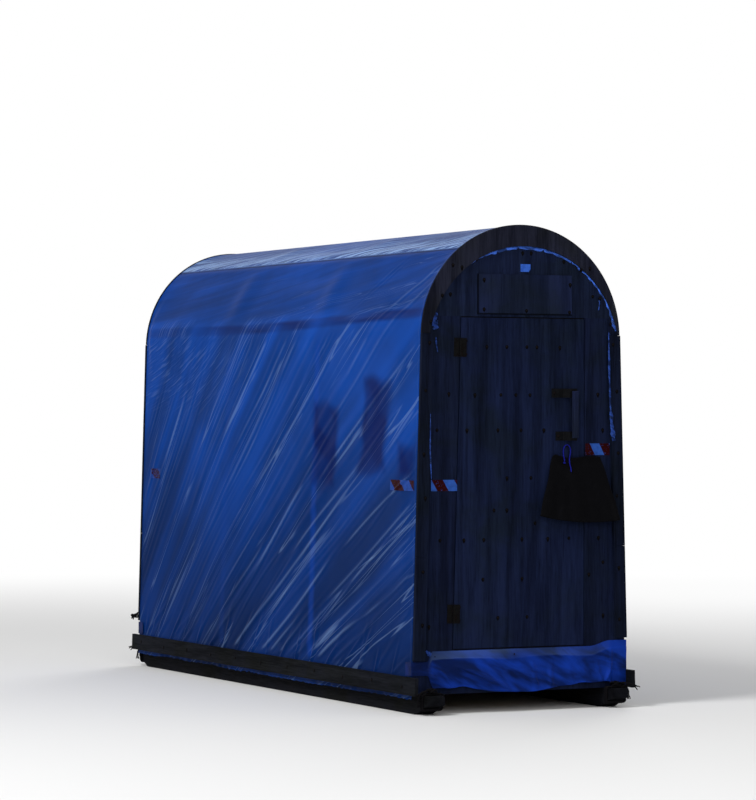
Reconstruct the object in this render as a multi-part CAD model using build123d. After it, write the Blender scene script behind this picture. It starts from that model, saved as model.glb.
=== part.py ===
from build123d import *
from math import asin, atan2, cos, degrees, hypot, radians, sin, sqrt, tan
import os

# Ice fishing hut: a narrow framed hut on two timber skids, with an arched
# roof, plywood ends, a side hung door and a film cover over walls and roof.
# Origin: middle of the footprint on the ground. +X right, +Y to the rear, +Z up.
# All sizes are in millimetres.

# Overall form: the arch's centre is measured up from the floor frame's foot
hut_length = 3550.0
base_half_width = 622.0
arch_radius = 573.0
arch_centre_height = 1789.0

# Skids
skid_height = 100.0
skid_width = 100.0
skid_inset = 92.0
skid_overhang = 90.0
skid_nose_rise = 55.0
skid_nose_length = 130.0

# Film cover
trim_reveal = 4.0
cover_thickness = 3.0

# Framing timber
stick_thickness = 38.0
stick_width = 64.0
joist_count = 9
bay_count = 3
purlin_thickness = 19.0
purlin_width = 64.0
purlin_angle = 38.0
eave_rise = 100.0

# Floor
deck_thickness = 12.0
ice_hole_length = 360.0
ice_hole_width = 600.0

# End walls: the trim's inner edge is a flatter arc than the roof, so its feet taper
end_sheet_thickness = 18.0
trim_thickness = 12.0
trim_crown_width = 108.0
trim_inner_drop = 92.0
trim_inner_shift = 20.0
trim_joints = (-145.0, 28.0, 217.0)
trim_foot_rise = 18.0
joint_gap = 1.5
batten_thickness = 19.0
batten_width = 64.0
batten_foot_left = 172.0
batten_foot_right = 255.0
batten_joint_left = 690.0
batten_joint_right = 727.0
base_board_height = 89.0
base_board_thickness = 19.0
base_board_overhang = 66.0

# Door: its top is measured from the arch's centre, its hinge edge from the wall
door_foot_rise = 224.0
door_top_rise = 100.0
door_free_edge = 368.0
hinge_stile = 229.0
door_thickness = 12.0
door_gap = 5.0
stop_lap = 15.0
ledge_width = 89.0
ledge_thickness = 19.0
ledge_side_gap = 12.0
ledge_end_inset = 120.0
ledge_count = 3

# Door hinges: how far their middles lie below the door's top and above its foot
hinge_drop = 151.0
hinge_rise = 176.0
hinge_height = 95.0
hinge_leaf_width = 36.0
hinge_leaf_thickness = 2.5
knuckle_radius = 5.0
pin_radius = 2.5
pin_clearance = 0.1
knuckle_gap = 0.5
knuckle_set_out = 0.3

# Door pull: insets from the door's free edge, levels above its foot
strap_thickness = 4.0
strap_height = 46.0
strap_insets = (189.0, 166.0)
strap_levels = (1286.0, 1067.0)
strap_foot_inset = 122.0
strap_rise_run = 20.0
pull_stand_off = 33.0
grip_inset = 89.0
grip_width = 29.0
grip_depth = 20.0
grip_length = 240.0
grip_edge_round = 5.0

# Lock flap: its corners, right of the door's free edge and above the door's foot
flap_outline = ((-185.0, 969.0), (88.0, 966.0), (190.0, 636.0), (-38.0, 628.0), (-280.0, 662.0))
flap_thickness = 5.0
flap_slope_across = 0.0245
flap_slope_down = 0.106

# Nail over the flap's first corner
nail_across = 76.0
nail_rise = 46.5
nail_radius = 2.0
nail_head_radius = 5.0
nail_head_thickness = 1.5
nail_length = 22.0

# Flap cord: its route in the plane of the door, as offsets from the nail
cord_diameter = 6.0
cord_section_sides = 8
cord_arc_share = 0.45
cord_knot_radius = 7.0
cord_knot_height = 13.0
cord_route = (
    (-14.5, -78.5),
    (-14.5, -67.0),
    (-18.5, -49.5),
    (-20.0, -28.5),
    (-18.0, -9.0),
    (-8.0, 5.0),
    (8.5, 6.0),
    (20.0, -7.0),
    (22.0, -27.5),
    (18.5, -48.5),
    (13.5, -68.5),
    (14.5, -89.5),
    (20.5, -109.5),
    (21.0, -130.5),
)

# Name plate
plate_left = -252.0
plate_width = 546.0
plate_height = 204.0
plate_thickness = 6.0
plate_rise = 17.0

# End skirts
skirt_inset = 116.0
skirt_top_gap = 7.0
skirt_foot = 4.0
skirt_thickness = 4.0

# Rope lashings round the skid noses
rope_diameter = 11.0
rope_turns = 3
rope_set_back = 32.0
rope_knot_radius = 17.0
rope_knot_length = 50.0
rope_knot_sides = 10

# How near a soft piece lies to what carries it
soft_gap = 0.3

# Derived sizes
foot = skid_height
centre_z = foot + arch_centre_height
crown = centre_z + arch_radius
rear = hut_length / 2
front = -rear
lean = atan2(base_half_width, arch_centre_height) - asin(arch_radius / hypot(base_half_width, arch_centre_height))
far = 4 * base_half_width
frame_inset = trim_reveal + cover_thickness
frame_front = front + end_sheet_thickness
frame_rear = rear - end_sheet_thickness
frame_length = frame_rear - frame_front
joist_top = foot + stick_width
deck_top = joist_top + deck_thickness
sole_top = deck_top + stick_thickness
eave_top = centre_z + eave_rise
eave_bottom = eave_top - stick_thickness
stud_inset = frame_inset + stick_width
door_foot = foot + door_foot_rise
door_top = centre_z + door_top_rise
opening_foot = door_foot - door_gap
opening_top = door_top + door_gap
opening_right = door_free_edge + door_gap


def wall_x(z):
    """Half width of the hut's outline on the straight leaning wall at height z."""
    return base_half_width - (z - foot) * tan(lean)


def outline(inset, low):
    """The hut's end outline, moved in by inset, from the height low upwards."""
    radius = arch_radius - inset
    top = (0, centre_z + radius)
    spring_x = radius * cos(lean)
    spring_z = centre_z + radius * sin(lean)
    if low >= spring_z:
        low_x = sqrt(radius**2 - (low - centre_z) ** 2)
        arch = ThreePointArc((low_x, low), top, (-low_x, low))
        return make_face(arch + Line((-low_x, low), (low_x, low)))
    low_x = wall_x(low) - inset / cos(lean)
    arch = ThreePointArc((spring_x, spring_z), top, (-spring_x, spring_z))
    walls = Polyline((-spring_x, spring_z), (-low_x, low), (low_x, low), (spring_x, spring_z))
    return make_face(arch + walls)


def patch(*corners):
    """A flat face through the given (x, z) corners."""
    return make_face(Polyline(*corners, close=True))


def band(left, right, low, high):
    """An upright rectangle between two x values and two heights."""
    return patch((left, low), (right, low), (right, high), (left, high))


def strip(outer, inner, low):
    """The strip of end view between two insets, above the height low."""
    return outline(outer, low) - outline(inner, low)


def side_strip(outer, inner, low, high, side):
    """One side's piece of the strip between two insets and two heights."""
    half = band(0, far, low, high) if side > 0 else band(-far, 0, low, high)
    return strip(outer, inner, low) & half


def board(face, start, depth):
    """Carry an end view face from y = start back by depth."""
    return Pos(0, start + depth, 0) * extrude(Plane.XZ * face, amount=depth)


def hinge_line(z, offset):
    """The hinge side of the doorway at height z, moved right by offset."""
    return (-(wall_x(z) - hinge_stile) - door_gap + offset, z)


def at_rear(shape):
    """The same piece at the rear end."""
    return mirror(shape, about=Plane.XZ)


def group(pieces):
    """Several separate solids as one shape."""
    return Compound(children=list(pieces))


def save(shape, name):
    """Write one sub-part, a lone solid without a compound round it."""
    solids = shape.solids()
    export_step(solids[0] if len(solids) == 1 else group(solids), f"parts/{name}.step")


os.makedirs("parts", exist_ok=True)
sides = {"left": -1, "right": 1}

# Skids: square timbers with the underside of each end cut up like a runner
skid_centre = base_half_width - skid_inset
skid_end = rear + skid_overhang
nose_start = skid_end - skid_nose_length
skid_side = patch(
    (-skid_end, skid_height),
    (-skid_end, skid_nose_rise),
    (-nose_start, 0),
    (nose_start, 0),
    (skid_end, skid_nose_rise),
    (skid_end, skid_height),
)
skid = extrude(Plane.YZ * skid_side, amount=skid_width / 2, both=True)
for name, side in sides.items():
    save(Pos(side * skid_centre, 0, 0) * skid, f"skid_{name}")

# Floor frame: rim joists along both sides and cross joists between them
joist_inset = frame_inset + stick_thickness
rims = [side_strip(frame_inset, joist_inset, foot, joist_top, side) for side in sides.values()]
save(group(board(rim, frame_front, frame_length) for rim in rims), "rim_joists")
joist_face = outline(joist_inset, foot) & band(-far, far, foot, joist_top)
joist_pitch = (frame_length - stick_thickness) / (joist_count - 1)
joist_lines = [frame_front + step * joist_pitch for step in range(joist_count)]
save(group(board(joist_face, line, stick_thickness) for line in joist_lines), "floor_joists")

# Floor deck with the hole that is fished through, between two joists
deck_face = outline(frame_inset, joist_top) & band(-far, far, joist_top, deck_top)
hole_bay = joist_count // 2
hole_y = (joist_lines[hole_bay] + stick_thickness + joist_lines[hole_bay + 1]) / 2
ice_hole = Pos(0, hole_y, joist_top) * Box(ice_hole_width, ice_hole_length, stick_width)
save(board(deck_face, frame_front, frame_length) - ice_hole, "floor_deck")

# Side walls: sole plates, studs at each bay line and eave plates
bay = (frame_length - stick_thickness) / bay_count
bay_lines = [frame_front + step * bay for step in range(bay_count + 1)]
soles = [side_strip(frame_inset, stud_inset, deck_top, sole_top, side) for side in sides.values()]
eaves = [side_strip(frame_inset, stud_inset, eave_bottom, eave_top, side) for side in sides.values()]
save(group(board(sole, frame_front, frame_length) for sole in soles), "sole_plates")
save(group(board(eave, frame_front, frame_length) for eave in eaves), "eave_plates")
for name, side in sides.items():
    stud = side_strip(frame_inset, stud_inset, sole_top, eave_bottom, side)
    save(group(board(stud, line, stick_thickness) for line in bay_lines), f"wall_studs_{name}")

# Roof: a bow on each bay line, and three flat purlins laid over the bows
purlin_outer = sqrt((arch_radius - frame_inset) ** 2 - (purlin_width / 2) ** 2)
bow_inset = arch_radius - purlin_outer + purlin_thickness
bow_face = strip(bow_inset, bow_inset + stick_thickness, eave_top)
for place, line in zip(("front", "forward", "aft", "rear"), bay_lines):
    save(board(bow_face, line, stick_thickness), f"roof_bow_{place}")
purlin_face = Pos(0, purlin_outer - purlin_thickness / 2) * Rectangle(purlin_width, purlin_thickness)
purlins = [Pos(0, centre_z) * Rot(0, 0, turn) * purlin_face for turn in (-purlin_angle, 0, purlin_angle)]
save(group(board(purlin, frame_front, frame_length) for purlin in purlins), "roof_purlins")

# Front wall: sheet split beside, over and under the doorway
sheet = outline(frame_inset, foot)
left_of_door = patch(
    (-far, opening_foot),
    hinge_line(opening_foot, 0),
    hinge_line(opening_top, 0),
    (-far, opening_top),
)
right_of_door = band(opening_right, far, opening_foot, opening_top)
front_wall = {
    "front_wall_left": sheet & left_of_door,
    "front_wall_right": sheet & right_of_door,
    "front_wall_head": outline(frame_inset, opening_top),
    "front_wall_sill": sheet & band(-far, far, foot, opening_foot),
}
for name, face in front_wall.items():
    save(board(face, front, end_sheet_thickness), name)

# Door frame behind the sheet: jamb posts, header and sill, all lapping as stops
header_bottom = opening_top - stop_lap
post_out = stick_thickness - stop_lap
left_post = patch(
    hinge_line(deck_top, -post_out),
    hinge_line(deck_top, stop_lap),
    hinge_line(header_bottom, stop_lap),
    hinge_line(header_bottom, -post_out),
)
right_post = band(opening_right - stop_lap, opening_right + post_out, deck_top, header_bottom)
save(group(board(post, frame_front, stick_width) for post in (left_post, right_post)), "door_jambs")
header = outline(stud_inset, header_bottom) & band(-far, far, header_bottom, header_bottom + stick_width)
sill_top = opening_foot + stop_lap
sill_bottom = sill_top - stick_thickness
sill = patch(
    hinge_line(sill_bottom, stop_lap),
    (opening_right - stop_lap, sill_bottom),
    (opening_right - stop_lap, sill_top),
    hinge_line(sill_top, stop_lap),
)
rails = (board(header, frame_front, stick_thickness), board(sill, frame_front, stick_width))
save(group(rails), "door_rails")

# Rear wall: one arched sheet with a girt across the studs inside it
save(board(sheet, frame_rear, end_sheet_thickness), "rear_wall")
girt_bottom = (sole_top + eave_bottom) / 2
girt = outline(stud_inset, girt_bottom) & band(-far, far, girt_bottom, girt_bottom + stick_width)
save(board(girt, frame_rear - stick_thickness, stick_thickness), "rear_girt")

# Arch trim: plywood segments nailed over the film's edge, cut at upright joints
trim_foot = centre_z + trim_foot_rise
trim_hollow = Circle(arch_radius - trim_crown_width + trim_inner_drop)
trim_ring = outline(0, trim_foot) - Pos(trim_inner_shift, centre_z - trim_inner_drop) * trim_hollow
cuts = (-far, *trim_joints, far)
spans = [(start + joint_gap / 2, stop - joint_gap / 2) for start, stop in zip(cuts[:-1], cuts[1:])]
segments = [trim_ring & band(start, stop, trim_foot, crown) for start, stop in spans]
trim = group(board(segment, front - trim_thickness, trim_thickness) for segment in segments)
save(trim, "arch_trim_front")
save(at_rear(trim), "arch_trim_rear")

# Corner battens: two lengths down each corner over the film's edge
batten_ends = (
    (-1, batten_foot_left, batten_joint_left),
    (1, batten_foot_right, batten_joint_right),
)
batten_faces = []
for side, low, joint in batten_ends:
    batten_faces.append(side_strip(0, batten_width, foot + low, foot + joint - joint_gap, side))
    batten_faces.append(side_strip(0, batten_width, foot + joint, trim_foot - joint_gap, side))
battens = group(board(face, front - batten_thickness, batten_thickness) for face in batten_faces)
save(battens, "corner_battens_front")
save(at_rear(battens), "corner_battens_rear")

# Base boards: outside the film along both sides, running past the ends
board_outer = trim_reveal - base_board_thickness
board_length = hut_length + 2 * base_board_overhang
for name, side in sides.items():
    face = side_strip(board_outer, trim_reveal, foot, foot + base_board_height, side)
    save(board(face, front - base_board_overhang, board_length), f"base_board_{name}")

# Film cover: one sheet over the hut, as two sides and the roof
for name, side in sides.items():
    face = side_strip(trim_reveal, frame_inset, foot, centre_z, side)
    save(board(face, front, hut_length), f"cover_{name}")
save(board(strip(trim_reveal, frame_inset, centre_z), front, hut_length), "cover_roof")

# End skirts: film strips nailed under the door and across the rear foot
skirt_side = base_half_width - skirt_inset
skirt_face = band(-skirt_side, skirt_side, foot + skirt_foot, door_foot - skirt_top_gap)
skirt = board(skirt_face, front - soft_gap - skirt_thickness, skirt_thickness)
save(skirt, "skirt_front")
save(at_rear(skirt), "skirt_rear")

# Name plate: bare plywood over the door
plate_low = door_top + plate_rise
plate_face = band(plate_left, plate_left + plate_width, plate_low, plate_low + plate_height)
save(board(plate_face, front - plate_thickness, plate_thickness), "name_plate")

# Door leaf with inside ledges
leaf_face = patch(
    hinge_line(door_foot, door_gap),
    (door_free_edge, door_foot),
    (door_free_edge, door_top),
    hinge_line(door_top, door_gap),
)
save(board(leaf_face, front, door_thickness), "door_leaf")
ledge_inset = stop_lap + ledge_side_gap
ledge_right = opening_right - ledge_inset
ledge_low = door_foot + ledge_end_inset
ledge_pitch = (door_top - ledge_end_inset - ledge_width - ledge_low) / (ledge_count - 1)
ledges = []
for step in range(ledge_count):
    low = ledge_low + step * ledge_pitch
    high = low + ledge_width
    face = patch(
        hinge_line(low, ledge_inset),
        (ledge_right, low),
        (ledge_right, high),
        hinge_line(high, ledge_inset),
    )
    ledges.append(board(face, front + door_thickness, ledge_thickness))
save(group(ledges), "door_ledges")

# Hinges: butt hinges screwed to the outside, their pins along the leaning hinge edge
axis_y = front - knuckle_radius - knuckle_set_out
knuckle_length = (hinge_height - 2 * knuckle_gap) / 3
knuckle_pitch = knuckle_length + knuckle_gap


def hinge_half(side, knuckles):
    """A leaf on one side of an upright pin, with the given knuckles, numbered -1, 0, 1."""
    leaf_y = front - axis_y - hinge_leaf_thickness / 2
    leaf_start = knuckle_radius + knuckle_gap
    leaf_width = hinge_leaf_width - leaf_start
    leaf_middle = side * (leaf_start + leaf_width / 2)
    half = Pos(leaf_middle, leaf_y, 0) * Box(leaf_width, hinge_leaf_thickness, hinge_height)
    for number in knuckles:
        level = number * knuckle_pitch
        half += Pos(0, 0, level) * Cylinder(knuckle_radius, knuckle_length)
        half += Pos(side * leaf_start / 2, leaf_y, level) * Box(leaf_start, hinge_leaf_thickness, knuckle_length)
    return half


frame_half = hinge_half(-1, (-1, 1)) + Cylinder(pin_radius, hinge_height)
door_half = hinge_half(1, (0,)) - Cylinder(pin_radius + pin_clearance, hinge_height)
hinge_places = [
    Pos(hinge_line(z, door_gap / 2)[0], axis_y, z) * Rot(0, degrees(lean), 0)
    for z in (door_top - hinge_drop, door_foot + hinge_rise)
]
save(group(place * frame_half for place in hinge_places), "hinge_leaves_frame")
save(group(place * door_half for place in hinge_places), "hinge_leaves_door")

# Door pull: two bent straps that carry an upright wooden grip
seat_y = front - pull_stand_off
grip_left = door_free_edge - grip_inset
grip_right = grip_left + grip_width
rise_start = door_free_edge - strap_foot_inset
rise_end = rise_start + strap_rise_run
bend_shift = strap_thickness / 2
straps = []
for inset, level in zip(strap_insets, strap_levels):
    start = door_free_edge - inset
    strap_plan = patch(
        (start, front),
        (rise_start + bend_shift, front),
        (rise_end + bend_shift, seat_y),
        (grip_right, seat_y),
        (grip_right, seat_y - strap_thickness),
        (rise_end - bend_shift, seat_y - strap_thickness),
        (rise_start - bend_shift, front - strap_thickness),
        (start, front - strap_thickness),
    )
    strap = extrude(strap_plan, amount=strap_height / 2, both=True)
    straps.append(Pos(0, 0, door_foot + level) * strap)
save(group(straps), "pull_straps")
grip_x = (grip_left + grip_right) / 2
grip_y = seat_y - strap_thickness - grip_depth / 2
grip_z = door_foot + sum(strap_levels) / len(strap_levels)
grip = Pos(grip_x, grip_y, grip_z) * Box(grip_width, grip_depth, grip_length)
save(fillet(grip.edges().group_by(Axis.Y)[0], grip_edge_round), "pull_grip")

# Lock flap: a hanging sheet of rubber, its top on the door, its foot off the wall
flap_corners = [(door_free_edge + right, door_foot + up) for right, up in flap_outline]
flap_left, flap_top = flap_corners[0]


def flap_back(x, z):
    """The y of the flap's back, which leaves the door downwards and to the right."""
    return front - soft_gap - flap_slope_across * (x - flap_left) - flap_slope_down * (flap_top - z)


def flap_front(x, z):
    """The y of the flap's front, its thickness measured square to the sheet."""
    return flap_back(x, z) - flap_thickness * sqrt(1 + flap_slope_across**2 + flap_slope_down**2)


flap_wire = Wire.make_polygon([Vector(x, flap_back(x, z), z) for x, z in flap_corners], close=True)
flap_out = Vector(-flap_slope_across, -1, flap_slope_down)
save(extrude(Face(flap_wire), amount=flap_thickness, dir=flap_out.normalized()), "lock_flap")

# Nail that the flap's cord hangs on
nail_x = flap_left + nail_across
nail_z = flap_top + nail_rise
nail_shank = Pos(0, 0, nail_length / 2) * Cylinder(nail_radius, nail_length)
nail_head = Pos(0, 0, nail_length + nail_head_thickness / 2) * Cylinder(nail_head_radius, nail_head_thickness)
save(Pos(nail_x, front, nail_z) * Rot(90, 0, 0) * (nail_shank + nail_head), "flap_nail")


def cord_point(right, up):
    """A point of the cord by its offset from the nail, off the flap by its knot's radius."""
    x = nail_x + right
    z = nail_z + up
    knot_foot = min(z, flap_top) - cord_knot_height
    return Vector(x, flap_front(x + cord_knot_radius, knot_foot) - soft_gap - cord_knot_radius, z)


# Flap cord: from its knot on the flap, up over the nail and down to a loose tail
route = [cord_point(right, up) for right, up in cord_route]
route[1].Y = route[0].Y
knot_centre = route[0] - Vector(0, 0, cord_knot_height / 2)
save(Pos(*knot_centre) * Cylinder(cord_knot_radius, cord_knot_height), "flap_cord_knot")
cord_radii = []
for before, here, after in zip(route[:-2], route[1:-1], route[2:]):
    turn = radians((here - before).get_angle(after - here))
    run = min((here - before).length, (after - here).length)
    cord_radii.append(cord_arc_share * run / tan(turn / 2))
cord_path = FilletPolyline(*route, radius=cord_radii)
cord_section = RegularPolygon(cord_diameter / 2, cord_section_sides)
cord = sweep(Plane(origin=route[0], z_dir=route[1] - route[0]) * cord_section, path=cord_path)
save(cord, "flap_cord")
print("cord radii", [round(radius, 1) for radius in cord_radii])
print("cord length", round(cord_path.length, 1))
print("cord volume over section times length", round(cord.volume / cord_section.area / cord_path.length, 4))

# Rope lashings: turns of rope round the skid noses, side by side, with a knot on top
rope_radius = rope_diameter / 2
rope_bevel = rope_diameter * (1 - sqrt(1 / 2))
rope_top = skid_height + soft_gap
hole_width = skid_width + 2 * soft_gap
lash_start = skid_end - rope_set_back


def rope_turn(side, y):
    """One turn of rope round a skid nose: a ring just clear of the rising underside."""
    underside = skid_nose_rise * (abs(y) - rope_radius - nose_start) / skid_nose_length
    hole_height = rope_top + soft_gap - underside
    around = RectangleRounded(hole_width + 2 * rope_diameter, hole_height + 2 * rope_diameter, rope_diameter)
    ring = extrude(Plane.XZ * around, amount=rope_radius, both=True)
    rims = ring.edges().group_by(Axis.Y)
    ring = chamfer(rims[0] + rims[-1], rope_bevel)
    ring -= extrude(Plane.XZ * Rectangle(hole_width, hole_height), amount=rope_radius, both=True)
    return Pos(side * skid_centre, y, rope_top - hole_height / 2) * ring


knot_section = Plane.YZ * RegularPolygon(rope_knot_radius, rope_knot_sides)
barrel = extrude(knot_section, amount=rope_knot_length / 2, both=True)
lashings = []
for side, end in ((-1, -1), (1, -1), (-1, 1)):
    turn_lines = [end * (lash_start - turn * rope_diameter) for turn in range(rope_turns)]
    knot_y = sum(turn_lines) / rope_turns
    lashing = Pos(side * skid_centre, knot_y, rope_top + rope_knot_radius) * barrel
    for y in turn_lines:
        lashing += rope_turn(side, y)
    lashings.append(lashing)
save(group(lashings), "skid_lashings")
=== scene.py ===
# %% [markdown]
# # An ice fishing hut of plywood and film
# The hut is a narrow timber frame on two skids. Its ends are weathered
# plywood, and one sheet of polythene film goes over the walls and the arched
# roof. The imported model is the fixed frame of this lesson: every length is in
# metres, the ground is at z = 0, and the front looks towards -Y. Rigid pieces
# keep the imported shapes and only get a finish. Film, rubber, cord and rope are
# soft, so their plain solids are replaced by surfaces worked out here.

# %% Load the frame
from math import asin, atan2, cos, hypot, pi, radians, sin, sqrt

import bmesh
import bpy
import numpy as np
from mathutils import Matrix, Vector


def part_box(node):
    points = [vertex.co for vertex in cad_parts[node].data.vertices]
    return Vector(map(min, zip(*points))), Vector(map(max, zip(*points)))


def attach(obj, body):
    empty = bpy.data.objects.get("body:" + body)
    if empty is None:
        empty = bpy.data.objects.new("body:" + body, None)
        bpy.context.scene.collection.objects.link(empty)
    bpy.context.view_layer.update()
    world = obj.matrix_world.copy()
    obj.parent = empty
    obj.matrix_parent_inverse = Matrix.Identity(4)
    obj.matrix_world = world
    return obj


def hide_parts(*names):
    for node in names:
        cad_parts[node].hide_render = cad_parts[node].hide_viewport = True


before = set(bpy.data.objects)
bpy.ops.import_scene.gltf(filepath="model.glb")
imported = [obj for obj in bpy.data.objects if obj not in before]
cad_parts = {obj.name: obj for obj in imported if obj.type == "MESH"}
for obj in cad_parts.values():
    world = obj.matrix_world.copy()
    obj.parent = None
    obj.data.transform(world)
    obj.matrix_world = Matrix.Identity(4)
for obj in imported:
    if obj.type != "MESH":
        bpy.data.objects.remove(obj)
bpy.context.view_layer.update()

# %% [markdown]
# ## The camera
# The photograph was taken with a long lens from a standing eye, so the hut's
# lines hardly converge. A camera could be placed by trying, but here its place
# was worked out from points measured on the hut, which puts every edge where
# the photograph has it. The picture's long side of 800 pixels meets the
# sensor's 36 mm, so the focal length in pixels gives the lens.

# %% Place the camera
eye_place = (-8.191, -16.540, 1.5226)
eye_turn, eye_rise, eye_roll = radians(-26.563), radians(0.172), radians(0.08)
focal_pixels, picture_height, sensor_side = 3329.15, 800, 36.0


def new_object(name, data):
    """An object that holds this data, linked into the scene."""
    made = bpy.data.objects.new(name, data)
    bpy.context.scene.collection.objects.link(made)
    return made


camera = new_object("photo_camera", bpy.data.cameras.new("photo_camera"))
camera.data.lens = focal_pixels * sensor_side / picture_height
camera.data.sensor_width = sensor_side
turned = Matrix.Rotation(eye_turn, 4, "Z") @ Matrix.Rotation(pi / 2 + eye_rise, 4, "X")
camera.matrix_world = Matrix.Translation(eye_place) @ turned @ Matrix.Rotation(eye_roll, 4, "Z")
bpy.context.scene.camera = camera
bpy.context.scene.view_settings.view_transform = "Standard"
print("lens", round(camera.data.lens, 2))

# %% [markdown]
# ## Shader trees written as sums
# A shader is a tree of nodes wired together. Wiring them one by one is long
# to read, and a formula gets lost in it. So a small class stands for a wire
# from a node, and a plus, minus or times sign on it makes the Math node that
# works it out. The other helpers name the steps that come again and again.
# Colours are tones as a screen shows them, 0 to 255, and are turned to the
# linear values that a shader needs.


# %% Wires
def feed(tree, node, inputs):
    """Set a node's inputs, each to a value or to a wire from another node."""
    for key, value in inputs.items():
        if isinstance(value, Wire):
            tree.links.new(value.socket, node.inputs[key])
        else:
            node.inputs[key].default_value = value


def add(tree, kind, inputs=None, output=0, **settings):
    """A node of this kind with its settings and inputs, as a wire from one of its outputs."""
    node = tree.nodes.new("ShaderNode" + kind)
    for key, value in settings.items():
        setattr(node, key, value)
    feed(tree, node, inputs or {})
    return Wire(tree, node.outputs[output])


class Wire:
    """A wire from a shader node. Arithmetic on it makes the Math node that works it out."""

    def __init__(self, tree, socket):
        self.tree = tree
        self.socket = socket

    def maths(self, operation, *others):
        """A Math node on this wire and the other values."""
        return add(self.tree, "Math", dict(enumerate((self, *others))), operation=operation)

    def __add__(self, other):
        return self.maths("ADD", other)

    def __sub__(self, other):
        return self.maths("SUBTRACT", other)

    def __rsub__(self, other):
        return self * -1.0 + other

    def __mul__(self, other):
        return self.maths("MULTIPLY", other)

    def __abs__(self):
        return self.maths("ABSOLUTE")

    def most(self, other):
        """The greater of this and another value."""
        return self.maths("MAXIMUM", other)


# %% Places and patterns
def own_place(finish):
    """The piece's own place, in metres."""
    return add(finish.node_tree, "TexCoord", output="Object")


def flat_place(finish):
    """The place on the piece's UV map, in metres."""
    return add(finish.node_tree, "UVMap", uv_map="UVMap")


def marked(finish, mark):
    """A value that the mesh carries at each point."""
    return add(finish.node_tree, "Attribute", output="Fac", attribute_name=mark)


def mapped(place, **steps):
    """A place scaled, turned or moved."""
    return add(place.tree, "Mapping", {"Vector": place, **steps})


def split(place):
    """The x, y and z of a place."""
    node = add(place.tree, "SeparateXYZ", {0: place}).socket.node
    return [Wire(place.tree, socket) for socket in node.outputs]


def joined(x, y):
    """A flat place from its x and y."""
    return add(x.tree, "CombineXYZ", {0: x, 1: y})


def spread(value, low, high, start=0.0, stop=1.0):
    """Map a value from low and high to start and stop, held at both ends."""
    inputs = {0: value, 1: low, 2: high, 3: start, 4: stop}
    return add(value.tree, "MapRange", inputs, interpolation_type="SMOOTHSTEP")


def noise(place, scale, detail=3.0, rough=0.55, bend=0.0):
    """Noise of a given scale on a place."""
    inputs = {"Vector": place, "Scale": scale, "Detail": detail, "Roughness": rough, "Distortion": bend}
    return add(place.tree, "TexNoise", inputs)


# %% Tones and finishes
def linear(tone):
    """A tone as a screen shows it, 0 to 255, in the linear values of a shader."""
    screen = np.array(tone) / 255
    values = np.where(screen <= 0.04045, screen / 12.92, ((screen + 0.055) / 1.055) ** 2.4)
    return (*values.tolist(), 1.0)


def times(share, tone):
    """A tone made darker or lighter by a share."""
    return tuple(share * part for part in tone)


def mixed(share, first, second, blend="MIX"):
    """Two colours, wires or tones, mixed by a share from 0, the first, to 1, the second."""
    tree = next(value.tree for value in (share, first, second) if isinstance(value, Wire))
    first, second = (value if isinstance(value, Wire) else linear(value) for value in (first, second))
    return add(tree, "Mix", {0: share, 6: first, 7: second}, 2, data_type="RGBA", blend_type=blend)


def shaded(colour, red, green, blue):
    """A colour with its red, green and blue multiplied, each by a value."""
    return mixed(1.0, colour, add(colour.tree, "CombineColor", {0: red, 1: green, 2: blue}), "MULTIPLY")


def new_finish(name):
    """A material with a Principled shader."""
    finish = bpy.data.materials.new(name)
    finish.use_nodes = True
    return finish


def paint(finish, colour, rough, specular, relief=None, strength=None, depth=None, **others):
    """Wire a colour, a roughness and a bump into a finish, and set what is the same all over."""
    inputs = {"Base Color": colour, "Roughness": rough, "Specular IOR Level": specular, **others}
    if relief:
        bump = {"Height": relief, "Strength": strength, "Distance": depth}
        inputs["Normal"] = add(colour.tree, "Bump", bump)
    feed(colour.tree, finish.node_tree.nodes["Principled BSDF"], inputs)
    return finish


# %% [markdown]
# ## Light, floor and background
# Soft light shows the film's folds best when it comes from the left and from
# a little above, as the sky does in the photograph. One large lamp does that,
# a weaker one in front keeps the plywood readable, a third lights the sides
# that the photograph doesn't show, and the world fills the shadows. The white
# background is what the camera sees of the world, at a strength of 1, so it
# adds no light. The floor fades into that white far out.

# %% Light the hut
ambient = 0.36
white = (1.0, 1.0, 1.0, 1.0)
hut_middle = Vector((0.0, 0.0, 1.2))
lamps = {
    "key_lamp": ((-8.0, -3.5, 9.0), 3.5, 900.0),
    "front_lamp": ((-3.0, -12.0, 5.0), 5.0, 300.0),
    "back_lamp": ((8.0, 8.0, 6.0), 5.0, 390.0),
}

world = bpy.data.worlds.new("studio")
bpy.context.scene.world = world
world.use_nodes = True
world_tree = world.node_tree
ray_kinds = ("Is Camera Ray", "Is Glossy Ray", "Is Transmission Ray")
camera_ray, glossy_ray, through_ray = (add(world_tree, "LightPath", output=kind) for kind in ray_kinds)
strength = camera_ray.most(glossy_ray).most(through_ray) * (1.0 - ambient) + ambient
feed(world_tree, world_tree.nodes["Background"], {"Color": white, "Strength": strength})

for name, (place, size, power) in lamps.items():
    lamp = new_object(name, bpy.data.lights.new(name, "AREA"))
    lamp.data.shape = "SQUARE"
    lamp.data.size = size
    lamp.data.energy = power
    lamp.location = place
    lamp.rotation_euler = (hut_middle - Vector(place)).to_track_quat("-Z", "Y").to_euler()
print("lamps", list(lamps))

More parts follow.
